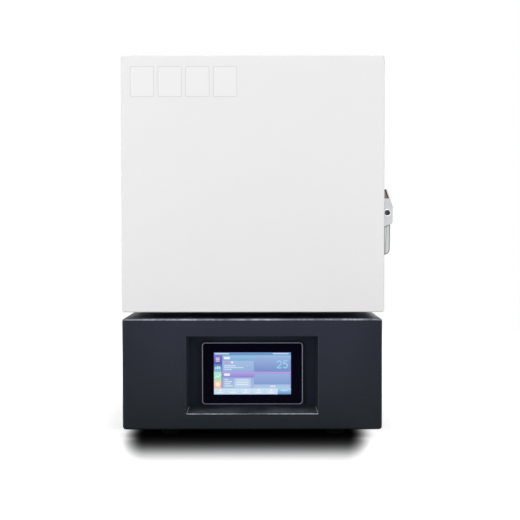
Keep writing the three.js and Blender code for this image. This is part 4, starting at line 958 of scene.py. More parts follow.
def screen_paint(u, v):
    """The screen's colours at u, v, millimetres from its upper left corner.

    Plain sheets, bars, two numbers, the tools' marks and dividers, two dots and a curve lie one over
    the other.
    """
    colour = np.zeros((*u.shape, 3))

    def lay(mask, shade):
        colour[:] = colour * (1 - mask[..., None]) + np.asarray(shade) * mask[..., None]

    def lay_box(box, shade, radius=0.0, soft=0.35):
        lay(box_mask(u, v, box, radius, soft), srgb(*shade))

    def lay_line(points, shade, half, soft):
        for start, end in zip(points, points[1:]):
            lay(stroke_mask(u, v, start, end, half, soft), srgb(*shade))

    for box, radius, upper, lower in SCREEN_SHEETS.values():
        fall = np.clip((v - box[2]) / (box[3] - box[2]), 0, 1)[..., None]
        shade = np.array(srgb(*upper)) * (1 - fall) + np.array(srgb(*lower)) * fall
        lay(box_mask(u, v, box, radius), shade)
    for shade, boxes in SCREEN_BARS.items():
        for box in boxes:
            lay_box(box, shade, 0.5, 0.8)
    for place, strokes in zip(DIGIT_PLACES, (digit_two(), digit_five())):
        lay_line(strokes * DIGIT_SIZE * (1, -1) + (place, DIGIT_BASE), (150, 222, 240), 0.6, 0.7)
    for tool in range(TOOL_COUNT):
        edge, middle = TOOL_PITCH * tool, TOOL_PITCH * (tool + 0.5)
        if tool:
            lay_box((edge - 0.2, edge + 0.2, 57.2, 65.2), (168, 192, 226))
        lay_box((middle - 5, middle + 5, 61.8, 63.4), (232, 240, 250), 0.5, 0.8)
        spot = (228, 236, 150) if tool == 1 else (236, 243, 252)
        lay_box((middle - 1.6, middle + 1.6, 57.8, 60.6), spot, 1.2, 0.8)
    lay_box((27.0, 30.2, 14.0, 17.2), (244, 248, 252), 1.6, 0.6)
    lay_box((2.8, 9.2, 46.8, 53.2), (248, 238, 232), 3.2, 0.6)
    lay_line(SCREEN_CURVE, (236, 250, 244), 0.5, 0.5)
    return colour


def screen_pane():
    """The lit screen: a flat grid in the glass's window, closed behind, with a colour at each point."""
    x0, _, _, z1 = screen_box()
    front = local_box("display_glass")[0][1] + 0.03
    margin, thickness = 0.05, 0.06
    u, v = np.meshgrid(*(
        np.linspace(margin, length - margin, round(length / SCREEN_CELL) + 1)
        for length in (SCREEN_WIDTH, SCREEN_HEIGHT)
    ))
    face = stacked("y", front, x0 + u, z1 - v).reshape(-1, 3)
    index = np.arange(u.size).reshape(u.shape)
    quads = np.stack([index[:-1, :-1], index[1:, :-1], index[1:, 1:], index[:-1, 1:]], axis=-1).reshape(-1, 4)
    rim = np.concatenate([index[:-1, 0], index[-1, :-1], index[:0:-1, -1], index[0, :0:-1]])
    back = len(face) + np.arange(len(rim))
    wall = np.stack([np.roll(rim, -1), rim, back, np.roll(back, -1)], axis=1)
    points = np.vstack([face, face[rim] + (0, thickness, 0)])
    paint = np.ones((len(points), 4))
    paint[: len(face), :3] = screen_paint(u, v).reshape(-1, 3)
    paint[len(face) :, :3] = paint[rim, :3]
    return (points, np.vstack([quads, wall]), [back[::-1].tolist()]), paint


def build_display():
    replace("display_bezel", "bezel_frame", bezel_frame(), crease=FOLDED_CREASE)
    replace("display_glass", "touch_glass", glass_plate())
    shell, paint = screen_pane()
    pane = dress("screen_pane", [shell], "cabinet", "screen_face")
    layer = pane.data.color_attributes.new(name="paint", type="FLOAT_COLOR", domain="POINT")
    layer.data.foreach_set("color", paint.astype(np.float32).ravel())


# Body
SLOT_PITCH = 14.0
SLOT_HALF = 2.5
SLOT_HEIGHT = 34.0
SLOT_MARGIN = 42.0
REAR_SLOTS = 18
BASE_SLOTS = 7
BASE_SLOT_MIDDLE = 30.0
BASE_SLOT_HEIGHT = 70.0
FAN_BORE = 56.0
SWITCH_WIDTH = 22.0
SWITCH_HEIGHT = 30.0
GLAND_HOLE = 11.3
PANEL_EDGE = 0.15
PANEL_SCREW_INSET = 9
PANEL_SCREW_MIDDLES = (-64, 64)
BASE_SCREW_INSET = 8
BASE_SCREW_MIDDLES = (-10, 75)
BASE_MIDDLE_INSET = 7
BODY_SIDE_SCREWS = (9, (90, 260, 430))
BASE_SIDE_SCREWS = (12, (60, 240, 420))


def cover_wrap():
    """The outer cover: a rounded rectangle of sheet from front to back, open between its two bottom lips."""
    box, (y0, y1) = front_of("outer_cover")
    belly = (box[1] - box[0]) / 2 - LIP
    section = ((0, y0), (0, y1), (SHEET, y1), (SHEET, y0))
    rows = [inset_loop(box, inset, y, COVER_CORNER, COVER_CORNER, belly) for inset, y in section]
    return [open_belly(rows, 0, 3, False)]


def slot_outlines(count, middle, z0, z1):
    """A row of upright slots with round ends."""
    places = middle + (np.arange(count) - (count - 1) / 2) * SLOT_PITCH
    return [rounded_outline((x - SLOT_HALF, x + SLOT_HALF, z0, z1), SLOT_HALF - 0.01, 5) for x in places]


def body_rear_panel():
    """The body's rear panel with its two rows of slots."""
    box, (y0, y1) = front_of("rear_panel")
    low, high = box[2] + SLOT_MARGIN, box[3] - SLOT_MARGIN
    slots = slot_outlines(REAR_SLOTS, 0, low, low + SLOT_HEIGHT)
    slots += slot_outlines(REAR_SLOTS, 0, high - SLOT_HEIGHT, high)
    return [punched_sheet(rounded_outline(box, COVER_CORNER - SHEET), slots, y0, y1)]


def base_rear_panel():
    """The base's rear panel: the fan's opening, a row of slots, and the cut-outs of switch and gland."""
    box, (y0, y1) = front_of("base_rear_panel")
    fan, switch, gland = middle_of("fan_frame"), middle_of("switch_body"), middle_of("cable_gland")
    half = BASE_SLOT_HEIGHT / 2
    across, up = SWITCH_WIDTH / 2 + 0.25, SWITCH_HEIGHT / 2 + 0.25
    opening = (switch[0] - across, switch[0] + across, switch[2] - up, switch[2] + up)
    holes = [round_outline(fan[0], fan[2], FAN_BORE)]
    holes += slot_outlines(BASE_SLOTS, BASE_SLOT_MIDDLE, fan[2] - half, fan[2] + half)
    holes += [rounded_outline(opening, 1.0), round_outline(gland[0], gland[2], GLAND_HOLE)]
    return [punched_sheet(rounded_outline(box, BASE_LOWER_CORNER - SHEET), holes, y0, y1)]


def panel_screws():
    """The screws along the edges of both rear panels, and low on the sides of body and base."""
    inset, aside, near = PANEL_SCREW_INSET, BASE_SCREW_INSET, BASE_MIDDLE_INSET
    (x0, x1, z0, z1), (_, back) = front_of("rear_panel")
    places = [(x, z) for z in (z0 + inset, (z0 + z1) / 2, z1 - inset) for x in (x0 + inset, x1 - inset)]
    places += [(x, z) for x in PANEL_SCREW_MIDDLES for z in (z0 + inset, z1 - inset)]
    shells = [screw(x, back, z, "y", 1) for x, z in places]
    (x0, x1, z0, z1), (_, back) = front_of("base_rear_panel")
    places = [(x, z) for x in (x0 + aside, x1 - aside) for z in (z0 + inset, z1 - inset)]
    places += [(x, z) for x in BASE_SCREW_MIDDLES for z in (z0 + near, z1 - near)]
    shells += [screw(x, back, z, "y", 1) for x, z in places]
    for box, (rise, depths) in ((cover_box, BODY_SIDE_SCREWS), (base_box, BASE_SIDE_SCREWS)):
        for way, x in ((-1, box[0][0]), (1, box[1][0])):
            shells += [screw(x, y, box[0][2] + rise, "x", way, 3.2, 1.6) for y in depths]
    return shells


def build_body():
    replace("outer_cover", "cover_wrap", cover_wrap(), cut_edge=SHEET_EDGE, crease=FOLDED_CREASE)
    replace("rear_panel", "vented_rear", body_rear_panel(), cut_edge=PANEL_EDGE)
    replace("base_rear_panel", "vented_base_rear", base_rear_panel(), cut_edge=PANEL_EDGE)
    dress("panel_screws", panel_screws(), "cabinet", "zinc_steel")


# Hinges
HINGE_AXIS = (-198.5, 46.5)
HINGE_HEIGHT = 54.0
HINGE_CLEARANCE = 0.25
HINGE_SCREWS = (-18, 0, 18)
KNUCKLE = 4.25
KNUCKLE_SIDES = 40
PIN = 2.2
PIN_HEAD = 3.4
LEAF = 2.0
LEAF_CORNER = 3


def knuckle(z0, z1):
    """A hinge knuckle: a bored barrel with softened ends."""
    soft, bore = 0.4, PIN + 0.3
    profile = [(KNUCKLE - soft, z0), (KNUCKLE, z0 + soft), (KNUCKLE, z1 - soft), (KNUCKLE - soft, z1)]
    return lathe(profile + [(bore, z1), (bore, z0)], (*HINGE_AXIS, 0), sides=KNUCKLE_SIDES, ring=True)


def hinge_pin(z):
    """A hinge pin with a domed head on the top knuckle."""
    foot_end, top = z - HINGE_HEIGHT / 2, z + HINGE_HEIGHT / 2
    round_edge = 1.2
    dome = arc((PIN_HEAD - round_edge, top + 1.1), round_edge, 0, 90, 5)
    profile = [(AXIS_HOLE, foot_end), (PIN - 0.3, foot_end), (PIN, foot_end + 0.3), (PIN, top + 0.25)]
    profile += [(PIN_HEAD, top + 0.25), *dome, (AXIS_HOLE, top + 2.25)]
    return lathe(profile, (*HINGE_AXIS, 0), sides=KNUCKLE_SIDES)


def hinge(level):
    """One hinge: the leaf on the body with two knuckles, the leaf on the door with one, screws and pin."""
    x, y = HINGE_AXIS
    half, third, cut = HINGE_HEIGHT / 2, HINGE_HEIGHT / 6, LEAF_CORNER
    z = middle_of(f"body_hinge_leaf_{level}")[2]
    gap = third + HINGE_CLEARANCE
    wall = cover_box[0][0] - HINGE_CLEARANCE
    far, notch = local_box(f"body_hinge_leaf_{level}")[1][1], y + KNUCKLE + 1
    outline = [(y, -half), (far - cut, -half), (far, cut - half), (far, half - cut), (far - cut, half)]
    outline += [(y, half), (y, gap), (notch, gap), (notch, -gap), (y, -gap)]
    plate = prism(np.array(outline) + (0, z), wall - LEAF, wall, "x")
    shells = [plate, knuckle(z - half, z - gap), knuckle(z + gap, z + half)]
    replace(f"body_hinge_leaf_{level}", f"hinge_body_leaf_{level}", shells, cut_edge=CUT_EDGE)
    heads = [screw(wall - LEAF, far - 10, z + rise, "x", -1, 3.0, 0.7) for rise in HINGE_SCREWS]
    dress(f"hinge_screws_{level}", heads, "cabinet", "zinc_steel")
    back = door_box[1][1] + HINGE_CLEARANCE
    far, clear = local_box(f"door_hinge_leaf_{level}")[1][0], x + KNUCKLE + 1
    outline = [(x, -third), (clear, -third), (clear, -half), (far - cut, -half), (far, cut - half)]
    outline += [(far, half - cut), (far - cut, half), (clear, half), (clear, third), (x, third)]
    shells = [prism(np.array(outline) + (0, z), back, back + LEAF), knuckle(z - third, z + third)]
    replace(f"door_hinge_leaf_{level}", f"hinge_door_leaf_{level}", shells, "door", CUT_EDGE)
    heads = [screw(far - 8, back + LEAF, z + rise, "y", 1, 2.6, 0.4) for rise in HINGE_SCREWS]
    dress(f"hinge_leaf_screws_{level}", heads, "door", "zinc_steel")
    replace(f"hinge_pin_{level}", f"domed_pin_{level}", [hinge_pin(z)])


# Latch
LATCH_WALL = 201.75
LATCH_X = 208.2
LATCH_Z = 344.7
CHEEK_REACH = 15.2
CHEEK_INSET = 0.5
CHIN_REACH = 10.4
CHIN_DROP = 18.1
SIDE_DROP = 11.6
HEEL_DROP = 22.2
SHOULDER_RISE = 8.4
TOP_RISE = 36.2
TIP_REACH = 5.6
WINDOW_RISE = 22.0
BRACKET_FRONT = 20.0
BRACKET_BACK = 40.0
CHEEK = 2.5
BRACKET_PLATE = 1.25
BRACKET_EDGE = 0.55
ROOF = 1.6
SHAFT = 3.2
SHAFT_HEAD = 4.2
SHAFT_SIDES = 48
SHAFT_PLAY = 0.3
SHAFT_END = 60.0
SOCKET = 2.4
SPRING_FRONT = 24.0
SPRING = 0.8
LEVER_LEFT = -4.9
LEVER_RIGHT = 4.3
LEVER_LOW = -65.0
LEVER_BARREL = 4.95
LEVER_DEPTHS = (22.8, 37.2)
CAM = 5.5
CAM_HUB = 6.0
CAM_NOSE = 11.0
KEEPER_PLATE = 2.0
KEEPER_LIP = 3.0
KEEPER_HALF = 9
KEEPER_SCREW_INSET = 9
KEEPER_SCREWS = (-12, 12)


def cheek_outline(top):
    """A latch cheek's (x, z) outline: slanted heel, curved chin, upright side and slope, out to its top."""
    reach = CHEEK_REACH - CHEEK_INSET
    chin = eased((CHIN_REACH, -CHIN_DROP), (reach, -CHIN_DROP), (reach, -SIDE_DROP), 8)
    share = (TOP_RISE - top) / (TOP_RISE - SHOULDER_RISE)
    slope_x = TIP_REACH + (CHEEK_REACH - TIP_REACH) * share - CHEEK_INSET
    points = [(0, -HEEL_DROP), *chin, (reach, SHOULDER_RISE), (slope_x, top), (0, top)]
    return np.array(points) + (LATCH_WALL, LATCH_Z)


def latch_bracket():
    """Two cheeks under a sloped roof on a back plate. The front cheek ends below the open hollow."""
    x0, z0 = LATCH_WALL, LATCH_Z
    shells = []
    for top, bore, y in ((WINDOW_RISE, SHAFT_HEAD, BRACKET_FRONT), (TOP_RISE, SHAFT, BRACKET_BACK - CHEEK)):
        hole = round_outline(LATCH_X, LATCH_Z, bore + SHAFT_PLAY, 40)
        shells.append(punched_sheet(cheek_outline(top), [hole], y, y + CHEEK))
    inside = (BRACKET_FRONT + 0.1, BRACKET_BACK - 0.1)
    shells.append(slab(x0, x0 + BRACKET_PLATE, *inside, z0 - HEEL_DROP + 0.1, z0 + TOP_RISE))
    eave = SHOULDER_RISE - 1.5
    roof = [(CHEEK_REACH, eave), (CHEEK_REACH, SHOULDER_RISE), (TIP_REACH, TOP_RISE)]
    roof += [(TIP_REACH - ROOF, TOP_RISE), (CHEEK_REACH - ROOF, SHOULDER_RISE), (CHEEK_REACH - ROOF, eave)]
    shells.append(prism(np.array(roof) + (x0, z0), BRACKET_FRONT - 0.05, BRACKET_BACK + 0.05))
    return shells


def spring_plate():
    """The bronze spring behind the open hollow: a narrow plate that follows the roof's slope."""
    low, high = WINDOW_RISE - 2, TOP_RISE - 1.2
    outline = np.array([(1.4, low), (9.0, low), (3.6, high), (1.4, high)])
    return [prism(outline + (LATCH_WALL, LATCH_Z), SPRING_FRONT, SPRING_FRONT + SPRING)]


def bracket_bush():
    """The bright bush round the shaft's head, proud of the front cheek."""
    y = BRACKET_FRONT
    rim = [(0.1, y), (0.1, y - 0.15), (0.4, y - 0.4), (0.9, y - 0.4), (1.4, y)]
    profile = [(SHAFT_HEAD + out, depth) for out, depth in rim]
    return [lathe(profile, (LATCH_X, 0, LATCH_Z), "y", SHAFT_SIDES, True)]


def latch_shaft():
    """The shaft with its round head, which has a hexagonal socket in a shallow dish."""
    socket = hexagon_reach(angles_round(SHAFT_SIDES), SOCKET)
    y = BRACKET_FRONT
    rows = [(socket * 0.98, y + 1.6), (socket, y + 0.45), (SOCKET * 1.3, y + 0.35), (SHAFT_HEAD - 0.5, y)]
    rows += [(SHAFT_HEAD, y + 0.4), (SHAFT_HEAD, y + 1.2), (SHAFT, y + 1.2)]
    rows += [(SHAFT, SHAFT_END - 0.4), (SHAFT - 0.4, SHAFT_END)]
    return [lathe(rows, (LATCH_X, 0, LATCH_Z), "y", SHAFT_SIDES)]


def lever():
    """The hanging lever: a barrel round the shaft that runs down into a tapering arm with one curved toe."""
    left, right, low = LEVER_LEFT, LEVER_RIGHT, LEVER_LOW
    toe = eased((left, low), (right, low + 0.8), (right, low + 9.8), 10)
    barrel = arc((0, 0), LEVER_BARREL, 0, 180, 24)
    outline = np.vstack([toe, [(5.0, -8.0)], barrel, [(left, -8.0)]])
    return [softened(outline + (LATCH_X, LATCH_Z), *LEVER_DEPTHS, 1.9, steps=6)]


def cam():
    """The cam on the shaft's rear end: a round hub with a blunt nose towards the body."""
    hub, nose, half, blunt = CAM_HUB, CAM_NOSE, 4.2, 2.0
    side = math.degrees(math.asin(half / hub))
    parts = [arc((0, 0), hub, side - 180, 180 - side, 40)]
    parts.append(arc((blunt - nose, half - blunt), blunt, 90, 180, 6))
    parts.append(arc((blunt - nose, blunt - half), blunt, 180, 270, 6))
    return [softened(np.vstack(parts) + (LATCH_X, LATCH_Z), SHAFT_END - CAM, SHAFT_END, 0.5)]


def keeper():
    """The keeper on the body's side: a plate, and the lip that the cam's nose grips."""
    (x0, x1, z0, z1), (y0, y1) = front_of("latch_keeper")
    middle, half = (z0 + z1) / 2, KEEPER_HALF
    plate = softened(rounded_outline((y0, y1, z0, z1), 2.5), x0, x0 + KEEPER_PLATE, 0.3, "x")
    lip = rounded_outline((x0, x1, middle - half, middle + half), 2.0)
    return [plate, softened(lip, y0, y0 + KEEPER_LIP, 0.3)]


def build_latch():
    replace("latch_bracket", "cast_bracket", latch_bracket(), "door", BRACKET_EDGE)
    dress("bracket_spring", spring_plate(), "door", "spring_bronze", CUT_EDGE)
    dress("bracket_bush", bracket_bush(), "door", "bright_bush")
    replace("latch_shaft", "socket_shaft", latch_shaft(), "latch")
    replace("latch_lever", "hanging_lever", lever(), "latch", finish="lever_metal")
    replace("latch_cam", "gripping_cam", cam(), "latch")
    replace("latch_keeper", "lipped_keeper", keeper())
    (x0, _, _, _), (_, y1) = front_of("latch_keeper")
    x, y = x0 + KEEPER_PLATE, y1 - KEEPER_SCREW_INSET
    heads = [screw(x, y, LATCH_Z + rise, "x", 1, 3.0, 1.6) for rise in KEEPER_SCREWS]
    dress("keeper_screws", heads, "cabinet", "zinc_steel")


# Fan, switch and gland
FAN_EAR = 52.5
FAN_CORNER = 6.0
EAR_HOLE = 2.2
FAN_SCREW = 3.9
FAN_MOTOR = 19.0
MOTOR_SEAT = 5.0
FAN_BLADES = 7
BLADE_ROOT = 17.6
BLADE_TIP = 53.4
BLADE_PITCH = math.radians(36)
BLADE_CHORD = 14.0
BLADE_CAMBER = 1.4
BLADE_HALF = 0.85
BLADE_REACH = 7.2
GUARD_WIRE = 1.1
GUARD_RINGS = (20.75, 32.5, 44.25, 56.0)
GUARD_MIDDLE = 8.2
GUARD_EYE = 3.1
SWITCH_FLANGE = 3.0
ROCKER_HALF = 10.5
ROCKER_PROUD = 7.5
ROCKER_DROP = 4.0
ROCKER_SIDE = 8.0
ROCKER_PIVOT = 5.0
MARK_RISE = 5.2
MARK_INK = 0.12
NUT_FLAT = 13.0
GLAND_SIDES = 72


def four_ears(x, z):
    """The middles of a fan's four screw holes."""
    return [(x + a * FAN_EAR, z + b * FAN_EAR) for a in (-1, 1) for b in (-1, 1)]


def fan_frame():
    """The fan's square frame with its bore, the motor's seat and four struts that carry it."""
    box, (y0, y1) = front_of("fan_frame")
    x, _, z = middle_of("fan_frame")
    holes = [round_outline(x, z, FAN_BORE, 96)]
    holes += [round_outline(*ear, EAR_HOLE, 24) for ear in four_ears(x, z)]
    seat = [(AXIS_HOLE, y0), (FAN_MOTOR - 0.8, y0), (FAN_MOTOR, y0 + 0.8)]
    seat += [(FAN_MOTOR, y0 + MOTOR_SEAT), (AXIS_HOLE, y0 + MOTOR_SEAT)]
    shells = [punched_sheet(rounded_outline(box, FAN_CORNER), holes, y0, y1), lathe(seat, (x, 0, z), "y")]
    near, far = FAN_MOTOR - 0.5, FAN_BORE + 0.4
    strut = np.array([(near, -3.5), (far, -2.6), (far, 2.6), (near, 3.5)])
    for turn in range(4):
        a = math.radians(90 * turn)
        turned = strut @ np.array([[math.cos(a), math.sin(a)], [-math.sin(a), math.cos(a)]])
        shells.append(prism(turned + (x, z), y0 + 0.05, y0 + 4.0))
    return shells


def fan_rotor():
    """Hub and seven blades: a blade's section is a cambered lens whose pitch grows towards its tip."""
    _, (y0, y1) = front_of("fan_rotor")
    x, y, z = middle_of("fan_rotor")
    soft = 2.5
    dome = arc((FAN_MOTOR - soft, y1 - soft), soft, 0, 90, 6)
    hub = [(AXIS_HOLE, y0), (FAN_MOTOR, y0), (FAN_MOTOR, y1 - soft), *dome, (AXIS_HOLE, y1)]
    shells = [lathe(hub, (x, 0, z), "y")]
    share = np.linspace(0, 1, 12)[:, None]
    around = angles_round(28)[None, :]
    radius = BLADE_ROOT + (BLADE_TIP - BLADE_ROOT) * share
    pitch = BLADE_PITCH * (1 + share / 3)
    chord = BLADE_CHORD / np.sin(np.pi / 2 - pitch / 2)
    along = 0.5 * chord * np.cos(around)
    across = BLADE_HALF * np.sin(around) + BLADE_CAMBER * (1 - np.cos(around) ** 2)
    up = np.clip(along * np.cos(pitch) + across * np.sin(pitch), -BLADE_REACH, BLADE_REACH)
    side = along * np.sin(pitch) - across * np.cos(pitch)
    for turn in angles_round(FAN_BLADES):
        a = radius * np.cos(turn) - side * np.sin(turn)
        b = radius * np.sin(turn) + side * np.cos(turn)
        shells.append(loft(stacked("y", y + up, x + a, z + b)))
    return shells


def fan_guard():
    """The guard: round wires in rings, four arms across them with an eye at each screw, and a middle disc."""
    centre = middle_of("fan_guard")
    x, y, z = centre
    wire = GUARD_WIRE
    section = round_outline(0, 0, wire, 12)
    shells = [lathe(section + (radius, y), (x, 0, z), "y", 96, True) for radius in GUARD_RINGS]
    rim = arc((GUARD_MIDDLE, y - wire + 0.8), 0.8, -90, 0, 4)
    disc = [(AXIS_HOLE, y - wire), (GUARD_MIDDLE, y - wire), *rim, (GUARD_MIDDLE - 0.6, y + wire)]
    shells.append(lathe([*disc, (AXIS_HOLE, y + wire)], (x, 0, z), "y", 48))
    reach = FAN_EAR * math.sqrt(2)
    for turn in range(4):
        a = math.radians(45 + 90 * turn)
        way = np.array([math.cos(a), 0, math.sin(a)])
        arm = centre + way * np.array([6.0, 20.0, 40.0, reach - GUARD_EYE])[:, None]
        shells.append(tube(arm, wire, (0, 1, 0), 12))
        middle = centre + way * reach - (0, y, 0)
        shells.append(lathe(section * 0.95 + (GUARD_EYE, y - 0.02), middle, "y", 32, True))
    return shells


def switch_body():
    """The switch's housing: a thin flange with a soft edge, and the well that the rocker tilts in."""
    x, _, z = middle_of("switch_body")
    _, (y0, y1) = front_of("switch_body")
    across, up = SWITCH_WIDTH / 2, SWITCH_HEIGHT / 2
    flange, soft = SWITCH_FLANGE, 0.4

    def row(grow, y, radius):
        return rounded_loop((x - across - grow, x + across + grow, z - up - grow, z + up + grow), y, radius)

    rows = [row(0, y0, 1.0), row(0, y1 - 2.45, 1.0), row(flange, y1 - 2.45, 2.0), row(flange, y1 - 1.0, 2.0)]
    rows += [row(flange - 0.3, y1 - soft, 2.0), row(flange - 1, y1, 1.6), row(-1.6, y1, 0.8)]
    rows += [row(-2.0, y1 - soft, 0.8), row(-2.0, y0 + 2, 0.8)]
    return [loft(rows)]


def rocker(pivot):
    """The rocker: a side view with two hollowed faces, carried across."""
    x, _, z = middle_of("switch_rocker")
    half, drop = ROCKER_HALF, ROCKER_DROP
    t = np.linspace(0, 1, 9)
    hollow = ROCKER_PROUD - drop - 0.7 * np.sin(np.pi * t)
    lower = np.stack([hollow, -half + half * t], axis=1)
    upper = np.stack([hollow + drop * t, half * t], axis=1)
    outline = np.vstack([[(-4.0, -half + drop)], lower, upper[1:], [(0.0, half), (-4.0, half - drop)]])
    return softened(outline + (pivot, z), x - ROCKER_SIDE, x + ROCKER_SIDE, 0.6, "x")


def rocker_marks(pivot):
    """The on bar and the off ring, printed on the rocker's two faces."""
    x, _, z = middle_of("switch_rocker")
    tilt, ink = math.atan2(ROCKER_DROP, ROCKER_HALF), MARK_INK
    rim = [(1.9, 0.0), (1.9, ink), (2.5, ink), (2.5, 0.0)]
    ring = lathe(rim, (x, pivot + 2.82, z - MARK_RISE), "y", 40, True)
    bar, quads, ends = slab(-0.3, 0.3, 0.0, ink, -2.2, 2.2)
    lean = [[1, 0, 0], [0, math.cos(tilt), -math.sin(tilt)], [0, math.sin(tilt), math.cos(tilt)]]
    return [ring, (bar @ np.array(lean) + (x, pivot + 4.83, z + MARK_RISE), quads, ends)]


def gland():
    """The cable gland: hexagonal nuts with turned-off corners, a fluted dome, and a rubber-lined bore."""
    x, _, z = middle_of("cable_gland")
    _, (y0, y1) = front_of("cable_gland")
    face = cover_box[1][1] + 0.25
    angles = angles_round(GLAND_SIDES)
    nut = hexagon_reach(angles, NUT_FLAT)
    flutes = 1 - 0.035 * np.maximum(np.cos(12 * angles), 0) ** 3
    top = face + 7.0
    rows = [(7.0, y0), (10.8, y0), (np.minimum(nut, 14.0), y0), (nut, y0 + 1.0), (nut, y0 + 6.6)]
    rows += [(np.minimum(nut, 14.2), y0 + 7.0), (11.0, y0 + 7.0), (11.0, face), (np.minimum(nut, 14.2), face)]
    rows += [(nut, face + 0.7), (nut, top - 1.1), (np.minimum(nut, 13.9), top)]
    rows += [(12.4, top), (12.4, top + 0.6)]
    rows += [(13.0 * flutes, top + 0.9), (12.6 * flutes, top + 5.0), (11.0 * flutes, top + 9.6)]
    rows += [(9.8, y1 - 0.6), (9.3, y1), (7.6, y1), (7.0, y1 - 0.6)]
    return [lathe(rows, (x, 0, z), "y", GLAND_SIDES, True)]


def build_rear_fittings():
    crease = MOULDED_CREASE
    replace("fan_frame", "square_fan_frame", fan_frame(), cut_edge=CUT_EDGE, crease=crease)
    replace("fan_rotor", "bladed_rotor", fan_rotor(), "fan", crease=crease)
    replace("fan_guard", "wire_guard", fan_guard(), crease=crease)
    replace("switch_body", "switch_housing", switch_body(), crease=crease)
    replace("cable_gland", "fluted_gland", gland(), cut_edge=SHEET_EDGE, crease=crease)
    pivot = local_box("switch_body")[1][1] - ROCKER_PIVOT
    replace("switch_rocker", "hollowed_rocker", [rocker(pivot)], "rocker")
    dress("rocker_marks", rocker_marks(pivot), "rocker", "marking_white")
    x, _, z = middle_of("fan_guard")
    face = cover_box[1][1] + 2 * GUARD_WIRE - 0.1
    heads = [screw(a, face, b, "y", 1, FAN_SCREW) for a, b in four_ears(x, z)]
    dress("fan_screws", heads, "cabinet", "zinc_steel")


# Heating chamber
ELEMENT = 3.0
ELEMENT_WIDTH = 30.0
COLD_END = 6.0
COLD_END_DROP = 8.0
SHEATH = 4.0
TILE_CORNER = 3.0
TILE_EDGE = 1.2


def heating_element(node_name):
    """A U of thin rod below thick cold ends: down one shank, a half turn, and up the other."""
    (_, _, z0), (_, _, top) = local_box(node_name)
    x, y, _ = middle_of(node_name)
    half = ELEMENT_WIDTH / 2
    bend_z = z0 + ELEMENT + half
    cold = local_box("insulation_top")[0][2] - COLD_END_DROP
    down = [top, top - 0.6, cold, cold - 4, cold - 8, bend_z + 20]
    ends = [COLD_END - 0.6, COLD_END, COLD_END, (COLD_END + ELEMENT) / 2, ELEMENT, ELEMENT]
    turn = np.radians(np.linspace(180, 360, 21))
    ys = np.concatenate([np.full(len(down), -half), half * np.cos(turn), np.full(len(down), half)])
    zs = np.concatenate([down, bend_z + half * np.sin(turn), down[::-1]])
    radii = np.concatenate([ends, np.full(len(turn), ELEMENT), ends[::-1]])
    return tube(np.stack([np.full(len(ys), x), y + ys, zs], axis=1), radii, (1.0, 0.0, 0.0), 20)


def build_chamber():
    for place in ("front_left", "rear_left", "front_right", "rear_right"):
        name = f"heating_element_{place}"
        replace(name, f"bent_element_{place}", [heating_element(name)])
    _, (y0, y1) = front_of("thermocouple_sheath")
    x, _, z = middle_of("thermocouple_sheath")
    soft = SHEATH - 0.3
    profile = [(AXIS_HOLE, y0), *arc((0.3, y0 + soft), soft, -90, 0, 8), (SHEATH, y1), (AXIS_HOLE, y1)]
    replace("thermocouple_sheath", "round_sheath", [lathe(profile, (x, 0, z), "y", 32)])
    (x0, x1, z0, z1), (y0, y1) = front_of("hearth_plate")
    tile = softened(rounded_outline((x0, x1, y0, y1), TILE_CORNER), z0, z1, TILE_EDGE, "z")
    replace("hearth_plate", "soft_hearth_tile", [tile])


# Door
CARD_SEAT = 0.1
CARD_CORNER = 1.6
CARD_WIDTH = 36.6
CARD_PITCH = 42.0
CARD_START = -184.6
CARD_HEIGHTS = (520.0, 566.6)
CARD_LINE = (0.35, 0.8)
CARD_COUNT = 4
FILM = 0.07
INK = (0.05, 0.1)
CHAMBER_HALF = 80.0
PLUG_CLEARANCE = 3.0
PLUG_TAPER = 3.0
PLUG_CORNER = 2.5
PLUG_EDGE = 3.5
LINER_CORNER = 2.5
LINER_BEND = 2.0
ROPE_HALF = 6.0
ROPE_CORNER = 26.0
LINER_SCREW_MARGIN = 13


def folded_pan(box, y0, y1, corner, radius):
    """A pan that is open at the back: face, bend and side outside, then the same drawn in by the sheet."""
    rows = [inset_loop(box, inset, y0 + depth, corner) for inset, depth in bend(radius)]
    rows += [inset_loop(box, 0, y1, corner), inset_loop(box, SHEET, y1, corner)]
    inner = bend(radius - SHEET)[::-1]
    rows += [inset_loop(box, SHEET + inset, y0 + SHEET + depth, corner) for inset, depth in inner]
    return loft(rows)


def label_cards():
    """Four bare film cards in the label place, and the thin line printed round each."""
    cards, lines = [], []
    y = door_box[0][1] + CARD_SEAT
    near, far = CARD_LINE
    ring = [(near, y - INK[0]), (near, y - INK[1]), (far, y - INK[1]), (far, y - INK[0])]
    for place in range(CARD_COUNT):
        x = CARD_START + place * CARD_PITCH
        box = (x, x + CARD_WIDTH, *CARD_HEIGHTS)
        cards.append(loft([inset_loop(box, 0, depth, CARD_CORNER) for depth in (y, y - FILM)]))
        lines.append(loft([inset_loop(box, inset, depth, CARD_CORNER) for inset, depth in ring], ring=True))
    return cards, lines


def plug_box(shift):
    """The box of the door's plug, drawn in by shift, from the chamber's mouth."""
    clear = PLUG_CLEARANCE + shift
    low = local_box("hearth_plate")[0][2] - 0.25
    high = local_box("insulation_top")[0][2]
    return (clear - CHAMBER_HALF, CHAMBER_HALF - clear, low + clear, high - clear)


